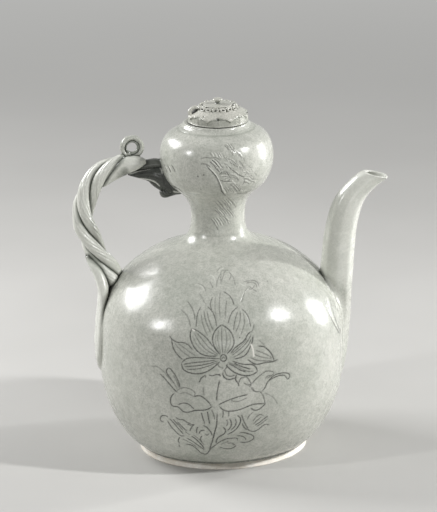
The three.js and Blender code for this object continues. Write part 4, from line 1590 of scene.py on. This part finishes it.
SHOULDER_LINES = [(190, 258), 14, [
    # Curled leaf tip to the right of the blossom's top, and its stem
    [0.45, (752, 330), (800, 322), (860, 314), (915, 322), (950, 352), (966, 400)],
    [0.4, (790, 352), (840, 338), (890, 345), (925, 372), (932, 412)],
    [0.45, (828, 402), (862, 420), (895, 446), (930, 462)],
    [0.4, (808, 412), (850, 436), (885, 412), (905, 380)],
    [-0.5, (700, 360), (745, 385), (790, 402)],
    [-0.6, (826, 420), (780, 462), (745, 510), (722, 560), (700, 610)],
    [0.35, (800, 430), (758, 492), (738, 548), (722, 612)],
    # Faint ribs over the back middle petal
    [0.35, (380, 180), (405, 150), (440, 122)],
    [-0.5, (395, 192), (425, 165), (465, 142)],
    [0.35, (430, 200), (455, 180), (480, 172)],
    [0.4, (540, 190), (568, 225), (572, 262), (548, 300)],
    [-0.4, (525, 182), (560, 200), (590, 240)],
    [0.35, (436, 230), (430, 300), (432, 360)],
    [0.35, (280, 330), (300, 375), (322, 415)],
    [-0.4, (260, 262), (300, 248), (340, 290), (350, 340)],
    # Arcs to the left
    [0.3, (110, 360), (165, 378), (205, 420), (220, 470)],
    [-0.35, (60, 380), (120, 375), (170, 405), (205, 455)],
    [0.3, (125, 490), (160, 540), (190, 600), (235, 660)],
]]

LEAVES = [(150, 290), 8.713, [
    # Stem
    [0.9, (604, 795), (592, 850), (584, 905), (580, 962)],
    [0.5, (462, 850), (464, 880), (470, 915)],
    # Wavy leaf on the left
    [0.9, (216, 895), (188, 926), (178, 970), (196, 1010), (245, 1019), (280, 1052), (336, 1065),
     (392, 1050), (440, 1049), (500, 1040), (546, 1014)],
    [0.8, (244, 1000), (298, 985), (342, 1000), (385, 1040)],
    [0.9, (380, 930), (430, 922), (480, 950), (512, 982), (532, 1008)],
    [0.5, (230, 880), (285, 852), (345, 862), (392, 905), (380, 930)],
    [0.4, (262, 905), (300, 895), (350, 910), (380, 930)],
    # Wavy leaf on the right
    [0.9, (598, 1000), (650, 975), (728, 945), (798, 924), (850, 912)],
    [0.9, (602, 1012), (640, 1046), (702, 1057), (770, 1046), (840, 1020), (892, 1000), (950, 992),
     (1006, 990)],
    [0.8, (880, 1030), (908, 1048), (948, 1041), (984, 1013), (1006, 990)],
    [0.7, (957, 885), (984, 918), (996, 958), (1002, 990)],
    [0.7, (893, 852), (915, 884), (957, 885)],
    [0.5, (700, 962), (745, 972), (790, 965), (845, 938)],
    # Curling leaves on the left
    [0.8, (88, 730), (130, 772), (172, 822), (216, 872), (236, 892)],
    [0.4, (10, 668), (52, 664), (92, 686), (136, 732), (182, 784), (222, 832), (240, 872)],
    [0.8, (262, 860), (250, 806), (224, 750), (190, 700), (162, 680), (144, 700), (150, 730),
     (184, 776), (216, 824)],
    [0.5, (205, 745), (235, 800), (250, 850)],
    # Curling leaves on the right
    [0.8, (968, 888), (1002, 850), (1026, 800), (1076, 766), (1132, 745), (1180, 752), (1200, 776),
     (1216, 742), (1190, 724), (1150, 724), (1100, 736), (1052, 770), (1022, 806)],
    [0.6, (884, 822), (920, 780), (968, 738), (1012, 710), (1052, 708), (1078, 722), (1060, 746),
     (1012, 770)],
    [0.6, (1004, 772), (1030, 748), (1056, 742)],
    [0.7, (800, 770), (842, 760), (866, 790), (880, 830), (862, 842)],
    [0.6, (820, 810), (846, 826), (884, 822)],
    [0.6, (880, 850), (902, 880), (930, 890)],
    [0.4, (1000, 900), (1070, 935), (1110, 992)],
]]

FRONDS = [(150, 395), 12, [
    # Stem and its foot
    [1.1, (805, 225), (803, 290), (795, 380), (775, 450), (755, 530), (735, 595), (712, 668)],
    [1.1, (632, 704), (665, 711), (698, 692), (716, 664), (740, 632)],
    [0.8, (615, 215), (635, 280), (655, 345)],
    [1, (690, 205), (700, 270), (715, 345)],
    [0.6, (740, 180), (765, 240), (775, 290)],
    [0.7, (875, 185), (878, 230), (870, 270)],
    [0.7, (945, 205), (945, 250)],
    [1, (640, 370), (670, 380), (705, 415), (735, 455), (745, 482)],
    # Upper frond on the left
    [0.8, (215, 265), (180, 247), (140, 252), (124, 282), (135, 313), (165, 324)],
    [1.1, (210, 310), (240, 360), (290, 420), (335, 465), (385, 492), (412, 487)],
    [1, (235, 285), (285, 335), (330, 390), (370, 435), (400, 470)],
    [0.9, (330, 325), (370, 365), (410, 405), (440, 430)],
    [0.8, (275, 290), (318, 336), (352, 372), (392, 420)],
    [0.9, (310, 270), (350, 292), (400, 300), (440, 325), (490, 346)],
    [0.8, (452, 350), (492, 362), (520, 352)],
    [0.8, (480, 430), (500, 385), (530, 355)],
    [0.8, (575, 385), (560, 420), (560, 455)],
    [0.9, (590, 460), (605, 435), (650, 425)],
    [0.7, (665, 470), (690, 482), (702, 465)],
    [0.9, (620, 495), (605, 525), (620, 560)],
    [0.5, (428, 440), (452, 462), (480, 476)],
    # Lower frond on the left
    [1.2, (500, 495), (550, 530), (590, 570), (625, 605), (650, 640)],
    [1, (445, 520), (500, 550), (550, 585), (600, 620), (650, 656)],
    [1.1, (430, 590), (490, 600), (540, 630), (580, 665), (610, 695), (635, 706)],
    [0.6, (395, 530), (440, 550), (500, 582), (556, 622)],
    [0.6, (520, 480), (566, 512), (610, 556), (650, 600)],
    [0.9, (357, 510), (340, 548), (352, 578)],
    [0.7, (350, 600), (360, 626)],
    # Upper frond on the right
    [1, (1050, 246), (1086, 284), (1078, 340), (1042, 400), (996, 440), (930, 474)],
    [0.7, (1024, 290), (1034, 330), (1014, 380), (972, 422)],
    [0.9, (960, 290), (975, 340), (964, 390), (932, 426)],
    [0.6, (920, 300), (930, 340), (920, 372)],
    [1.1, (880, 390), (906, 425), (894, 460), (850, 490), (815, 515), (798, 545), (794, 582)],
    [1, (735, 635), (775, 610), (820, 575), (870, 545), (930, 525), (1000, 518), (1045, 524),
     (1050, 548)],
    [1, (840, 625), (890, 641), (950, 646), (1000, 632), (1032, 608)],
    [0.8, (935, 580), (988, 580), (1018, 600)],
    [0.5, (850, 592), (900, 574), (940, 560)],
    # Lower frond on the right
    [1, (1070, 456), (1130, 455), (1185, 468), (1230, 485), (1246, 510), (1225, 540), (1180, 560),
     (1130, 572), (1082, 564)],
    [0.8, (1050, 490), (1100, 495), (1140, 518), (1152, 536)],
    [0.8, (1156, 396), (1190, 425), (1240, 438), (1290, 420), (1340, 380), (1390, 352), (1432, 362)],
    [0.8, (1262, 362), (1320, 325), (1370, 285), (1412, 254)],
    [0.6, (1242, 350), (1290, 300), (1332, 268)],
    [0.6, (1282, 376), (1340, 340), (1402, 290)],
    [0.6, (1238, 312), (1280, 260), (1330, 236), (1358, 250)],
    [0.8, (1100, 240), (1115, 290), (1140, 345), (1176, 405)],
    [0.8, (1108, 345), (1130, 392), (1162, 418)],
    [0.6, (1168, 290), (1190, 250), (1230, 212)],
]]

SPOUT_ROOT_LINES = [(280, 150), 6.817, [
    [0.9, (300, 1010), (322, 1075), (352, 1152), (384, 1214), (412, 1262)],
    [0.8, (338, 1010), (358, 1080), (380, 1160), (416, 1248)],
    [-1.1, (320, 1000), (340, 1078), (366, 1156), (398, 1226)],
    [-0.9, (372, 1030), (388, 1080), (396, 1140)],
    [0.4, (296, 1376), (304, 1400)],
    [0.5, (352, 1000), (376, 1060), (402, 1110)],
    [-0.5, (286, 1040), (300, 1090), (320, 1150)],
]]

HANDLE_HEAD_LINES = [(85, 120), 7.5, [
    # Raised edge of the leaf, and its veins
    [-1.6, (330, 404), (380, 390), (430, 378), (490, 364), (540, 350), (566, 362), (582, 400)],
    [1.2, (352, 412), (420, 400), (500, 388), (556, 366)],
    [1, (384, 424), (450, 420), (520, 428), (572, 448)],
    [0.8, (470, 392), (520, 404), (566, 424)],
    [-1.2, (400, 436), (460, 444), (520, 462), (560, 496)],
    [1.2, (440, 452), (500, 470), (548, 490)],
    [1.4, (572, 410), (590, 450), (600, 490), (640, 500), (700, 516), (736, 548)],
    [1.2, (600, 420), (616, 460), (640, 486), (684, 504)],
    # Curled end of the tendril
    [1.4, (582, 500), (580, 540), (604, 566), (634, 566), (652, 540), (640, 512), (612, 512),
     (600, 532), (616, 548)],
    [-1, (664, 536), (690, 540), (716, 542)],
    # Ticks where the leaf is pressed on to the bulb
    [1.4, (590, 336), (606, 356), (614, 384)],
    [-1.4, (600, 344), (612, 362), (618, 380)],
    [1.4, (620, 346), (632, 366), (642, 390)],
    [-1, (632, 350), (644, 368), (650, 386)],
    [0.8, (650, 340), (664, 362), (672, 384)],
]]

SCROLL = [(190, 138), 12, [
    # Long curved stem and the plumes that leave it
    [0.7, (190, 325), (250, 390), (300, 445), (340, 510), (365, 580), (385, 640), (430, 695)],
    [-1.15, (212, 338), (268, 392), (315, 450), (352, 520), (385, 590), (425, 665)],
    [0.56, (130, 312), (190, 316), (240, 350)],
    [0.7, (240, 285), (275, 320), (312, 365), (352, 405)],
    [-0.92, (250, 272), (288, 308), (326, 350), (362, 392)],
    [0.7, (262, 262), (300, 295), (338, 340), (372, 385)],
    [-0.92, (275, 256), (314, 288), (350, 332), (382, 370)],
    [0.56, (290, 250), (328, 280), (362, 322), (392, 358)],
    [0.42, (130, 250), (200, 234), (240, 240), (290, 232), (330, 245), (365, 275)],
    [0.35, (325, 172), (342, 212), (368, 258)],
    [0.35, (430, 78), (462, 122), (492, 170), (520, 212)],
    [-0.57, (444, 74), (476, 116), (508, 164)],
    [0.35, (456, 72), (490, 112), (522, 160)],
    [-0.57, (470, 72), (506, 116), (540, 166)],
    [0.35, (484, 72), (522, 122), (556, 172)],
    # Waves and plumes on the right
    [0.63, (352, 438), (386, 412), (424, 408), (452, 428), (468, 462)],
    [0.63, (362, 512), (420, 520), (462, 522), (492, 518)],
    [0.49, (420, 432), (452, 440), (478, 470), (496, 500)],
    [0.63, (462, 342), (505, 382), (556, 418), (602, 452), (652, 468)],
    [-0.69, (500, 430), (540, 440), (584, 480)],
    [0.49, (492, 298), (536, 328), (586, 350), (630, 352)],
    [0.35, (590, 276), (618, 320), (650, 372)],
    [0.35, (612, 296), (640, 340), (664, 366)],
    [0.42, (480, 448), (524, 456), (562, 482), (584, 506)],
    [-1.03, (492, 498), (536, 546), (580, 592), (622, 640)],
    [0.56, (512, 540), (556, 588), (598, 636)],
    [0.49, (486, 560), (530, 602), (566, 650)],
    [0.63, (684, 492), (724, 512), (776, 526)],
    [-0.69, (700, 470), (732, 500), (780, 510)],
    [0.56, (704, 452), (736, 486), (782, 494)],
    [0.35, (640, 480), (650, 520), (630, 560)],
    [0.49, (560, 664), (622, 666), (690, 654)],
    [0.63, (372, 636), (402, 668), (424, 694)],
    [0.49, (470, 612), (490, 645)],
    [-0.8, (0, 655), (60, 658), (122, 670)],
    # Strokes down the neck
    [0.42, (352, 782), (400, 838), (450, 888)],
    [0.49, (402, 762), (444, 806), (492, 860)],
    [0.49, (480, 752), (520, 792), (552, 832)],
    [0.35, (302, 832), (330, 872), (352, 905)],
    [0.42, (400, 940), (444, 980), (482, 1004)],
    [0.49, (288, 1006), (312, 1056), (336, 1104)],
    [0.35, (352, 720), (396, 760)],
    [0.35, (440, 700), (480, 742)],
]]

# Combed bands of the scroll, in the same crop: three places of the line that a comb's teeth start
# from, how far each stroke reaches and bends, and how many there are
SCROLL_BANDS = [
    [(232, 300), (300, 330), (380, 372), (62, 66), 12, 8],
    [(418, 90), (520, 130), (590, 190), (66, 84), 14, 9],
    [(400, 220), (480, 250), (560, 300), (60, 70), 12, 8],
    [(380, 300), (450, 330), (520, 380), (70, 62), 10, 8],
    [(372, 440), (384, 474), (398, 512), (110, 12), 16, 4],
    [(560, 330), (640, 380), (690, 440), (70, 46), 10, 8],
    [(500, 560), (560, 560), (610, 580), (60, 74), 10, 6],
    [(640, 420), (680, 460), (700, 520), (84, 22), 12, 6],
    [(400, 600), (440, 590), (500, 600), (50, 60), 10, 6],
    [(420, 400), (470, 430), (520, 470), (60, 40), 10, 6],
    [(640, 300), (690, 340), (740, 400), (56, 50), 10, 6],
    [(240, 180), (300, 176), (380, 190), (30, 52), 8, 6],
    [(492, 273), (551, 316), (636, 380), (42, 46), 8, 6],
    [(636, 380), (647, 444), (647, 530), (86, 28), 8, 6],
    [(369, 433), (412, 487), (465, 551), (75, 11), 14, 6],
    [(300, 760), (380, 742), (500, 724), (70, 84), 8, 9],
    [(292, 860), (370, 850), (470, 850), (70, 84), 8, 9],
    [(250, 970), (330, 960), (430, 950), (54, 84), 8, 8],
]

# Pits through the glaze: [radius, place in pixels]
PITS = [
    [0.6, (197.8, 176.4)], [0.6, (203.6, 175.1)], [0.4, (200.9, 189.4)], [0.4, (239.7, 337.4)],
    [0.35, (267.3, 281.1)], [0.3, (120, 357)], [0.3, (127, 372)],
]
LID_PITS = [[1.1, (217.7, 119.9)], [0.5, (203.4, 116.8)], [0.7, (205.2, 111.2)]]

# Places where the glaze is chipped down to paler clay
CHIPS = [
    [0.55, (251.2, 344.6), (252.6, 348), (253.3, 351), (253.9, 356)],
    [0.35, (192.6, 329.4), (194.4, 330.6)],
]

GROOVE_DEPTH = 0.36
GROOVE_WIDTH = 0.42
LINE_WIDTH = 0.5
LINE_DARKNESS = 1.5
SPOTS_PER_PIXEL = 3


def combed():
    """Strokes of the scroll and of its combed bands, whose strokes are uneven."""
    dice = np.random.default_rng(17)
    corner, zoom, strokes = SCROLL
    for first, middle, last, reach, bend, count in SCROLL_BANDS:
        for number, root in enumerate(spline([first, middle, last], count * 3 // 2)):
            run = np.array(reach) * dice.uniform(0.7, 1.2)
            side = np.array([run[1], -run[0]]) / np.linalg.norm(run) * bend * dice.uniform(0.2, 1)
            root = root + dice.normal(size=2) * 2
            weight = dice.uniform(0.15, 0.5) * (-1.5 if number % 2 else 1)
            strokes = strokes + [[weight, root, root + run / 2 + side, root + run]]
    return corner, zoom, strokes


def landed(trees, pixels):
    """Where the camera's rays through pixels first meet any of the trees, and which rays do."""
    start, rays = pixel_rays(pixels)
    spots, kept = [], []
    for number, ray in enumerate(rays):
        hits = [tree.ray_cast(start, ray) for tree in trees]
        hits = [(hit[3], hit[0]) for hit in hits if hit[0] is not None]
        if hits:
            spots.append(min(hits, key=lambda hit: hit[0])[1])
            kept.append(number)
    return np.array(spots), kept


def stroke_spots(trees, drawing):
    """Spots along a drawing's strokes on the pieces, each with its stroke's weight."""
    corner, zoom, strokes = drawing
    spots, weights = [], []
    for weight, *places in strokes:
        pixels = np.array(corner) + np.array(places, float) / zoom
        count = max(4, int(SPOTS_PER_PIXEL * lengths(pixels)[-1]))
        found, kept = landed(trees, spline(pixels, count))
        ease = np.sqrt(np.sin(math.pi * np.clip((np.arange(count) + 0.7) / (count + 0.4), 0, 1)))
        spots += list(found)
        weights += list(weight * np.clip(2 * ease[kept], 0, 1))
    return spots, weights


def incise(pieces, drawings):
    """Cuts the drawings' strokes into the pieces they fall on and darkens the glaze in them."""
    trees = [tree_of(made) for made in pieces]
    spots, weights = [], []
    for drawing in drawings:
        some_spots, some_weights = stroke_spots(trees, drawing)
        spots += some_spots
        weights += some_weights
    index = KDTree(len(spots))
    for number, spot in enumerate(spots):
        index.insert(spot, number)
    index.balance()
    low, high = np.min(spots, axis=0) - 2, np.max(spots, axis=0) + 2
    for made in pieces:
        points = points_of(made)
        depth = np.zeros(len(points))
        dark = np.zeros(len(points))
        for i in np.nonzero(np.all((points > low) & (points < high), axis=1))[0]:
            _, number, distance = index.find(points[i])
            depth[i] = weights[number] * math.exp(-(distance / GROOVE_WIDTH) ** 2)
            dark[i] = LINE_DARKNESS * weights[number] * math.exp(-(distance / LINE_WIDTH) ** 2)
        press(made, -GROOVE_DEPTH * depth)
        mask(made, "line", dark)
        # Raised strokes are painted pale: thin glaze, partly a painted highlight
        mask(made, "thin", -dark)


def dot(made, pixels, radius, name, depth):
    """Sinks small round spots into a piece, at pixels, and marks them in its finish."""
    spots, _ = landed([tree_of(made)], pixels)
    points = points_of(made)
    distance = np.min([np.linalg.norm(points - spot, axis=1) for spot in spots], axis=0)
    press(made, -depth * np.exp(-(distance / radius) ** 2))
    mask(made, name, 2.2 * np.exp(-(distance / radius) ** 2))


def decorate():
    """Cuts the drawings into the pieces, and gives the glaze its pits and chips."""
    drawings = [BLOSSOM, SHOULDER_LINES, LEAVES, FRONDS, combed(), SPOUT_ROOT_LINES]
    incise([VESSEL, SPOUT], drawings)
    incise([LEAF_BRANCH, TENDRIL, VESSEL], [HANDLE_HEAD_LINES])
    for radius, place in PITS:
        dot(VESSEL, [place], radius, "line", 0.3)
    for radius, place in LID_PITS:
        dot(LID_CAP, [place], radius, "line", 0.5)
    for radius, *places in CHIPS:
        dot(VESSEL, spline(places, 12), radius, "chip", 0.15)


def shade_branches_and_joints():
    """Paints shade on the handle's branches, and pooled glaze with shade wherever its pieces meet."""
    # Painted shade over the whole of the handle's branches
    for made, shade_share in ((HEAD_BRANCH, 0.85), (LEAF_BRANCH, 1), (TENDRIL, 0.9)):
        mask(made, "dark", np.full(len(made.data.vertices), shade_share))
    # Painted shade on the head branch's underside, darker where it faces down
    mask(HEAD_BRANCH, "line", 0.3 - 1.6 * normals_of(HEAD_BRANCH)[:, 2])
    slim = [(made, SLIM_JOINT_REACH) for made in (*ROLLS, STRAND_TIP, CORD_LOOP)]
    wide = [(made, WIDE_JOINT_REACH) for made in (*TAILS, HEAD_BRANCH, LEAF_BRANCH, TENDRIL)]
    pool_and_shade_at_joints(slim + wide, VESSEL, [*ROLLS, *TAILS, STRAND_TIP])


decorate()
shade_branches_and_joints()


# Stage, lamps and world

FILL_LIGHT = rgb(232, 232, 232)
FILL_STRENGTH = 0.125
BACKDROP = rgb(184, 184, 182)
FLOOR_PALE = rgb(194, 193, 190)
FLOOR_GREY = rgb(186, 185, 182)
FLOOR_HALF = 14000

# Distances from the ewer between which the floor turns into the backdrop for the eye
FLOOR_NEAR = 350
FLOOR_FAR = 2200

# What the lamps face: a place in metres
LAMP_AIM = (AXIS_X * MM, 0, 0.16)

# Soft boxes: [name, azimuth and elevation in degrees, distance, width and height in metres, power
# in watts]. Azimuth 0 is towards the viewer and 90 to the right.
LAMPS = [
    ["left_rear_box", -118, 32, 1.5, 0.75, 0.5, 21],
    ["left_lamp", -62, 27, 1.6, 0.06, 0.22, 6.5],
    ["right_lamp", 66, 35, 1.6, 0.07, 0.2, 18],
    ["right_rear_strip", 109, 10, 1.5, 0.05, 0.75, 17],
    ["low_front_box", 4, 3, 2.2, 1.5, 0.25, 3.9],
]


def floor_finish():
    """Pale floor, which far from the ewer shows the eye the same pale tone as the backdrop."""
    finish = Finish("floor_finish")
    cloud = finish.noise(420, 3).above(0.3, 0.7)
    color = finish.mix(cloud, FLOOR_GREY, FLOOR_PALE)
    ground = finish.node("ShaderNodeBsdfPrincipled", None, {
        "Base Color": color, "Roughness": cloud * 0.1 + 0.6})
    glow = finish.node("ShaderNodeEmission", None, {"Color": BACKDROP, "Strength": 1})
    distance = finish.node("ShaderNodeVectorMath", {"operation": "LENGTH"}, {0: finish.place}, 1)
    far = distance.above(FLOOR_NEAR, FLOOR_FAR) * finish.seen_ray()
    mixed = finish.node("ShaderNodeMixShader", None, {0: far, 1: ground, 2: glow})
    finish.node("ShaderNodeOutputMaterial", None, {"Surface": mixed})
    return finish.material


def stage():
    """The floor under the ewer."""
    half = FLOOR_HALF * MM
    square = [(-half, -half, 0), (half, -half, 0), (half, half, 0), (-half, half, 0)]
    mesh = bpy.data.meshes.new("floor")
    mesh.from_pydata(square, [], [(0, 1, 2, 3)])
    mesh.materials.append(floor_finish())
    floor = linked("floor", mesh)


def lamp(name, azimuth, elevation, distance, width, height, power):
    """A soft box that faces the ewer."""
    azimuth, elevation = math.radians(azimuth), math.radians(elevation)
    away = Vector((
        math.sin(azimuth) * math.cos(elevation),
        -math.cos(azimuth) * math.cos(elevation),
        math.sin(elevation),
    ))
    data = bpy.data.lights.new(name, "AREA")
    data.shape = "RECTANGLE"
    data.size, data.size_y = width, height
    data.energy = power
    turn = away.to_track_quat("Z", "Y").to_matrix().to_4x4()
    place = Matrix.Translation(Vector(LAMP_AIM) + away * distance)
    linked(name, data).matrix_world = place @ turn


def world():
    """Plain light from all sides, behind which the eye and the gloss see a pale backdrop."""
    studio = bpy.data.worlds.new("studio")
    nodes = Nodes(studio)
    light = nodes.node("ShaderNodeBackground", None, {"Color": FILL_LIGHT, "Strength": FILL_STRENGTH})
    backdrop = nodes.node("ShaderNodeBackground", None, {"Color": BACKDROP, "Strength": 1})
    mixed = nodes.node("ShaderNodeMixShader", None, {0: nodes.seen_ray(), 1: light, 2: backdrop})
    nodes.node("ShaderNodeOutputWorld", None, {"Surface": mixed})
    bpy.context.scene.world = studio


stage()
world()
for soft_box in LAMPS:
    lamp(*soft_box)

bpy.context.scene.view_settings.view_transform = "Standard"
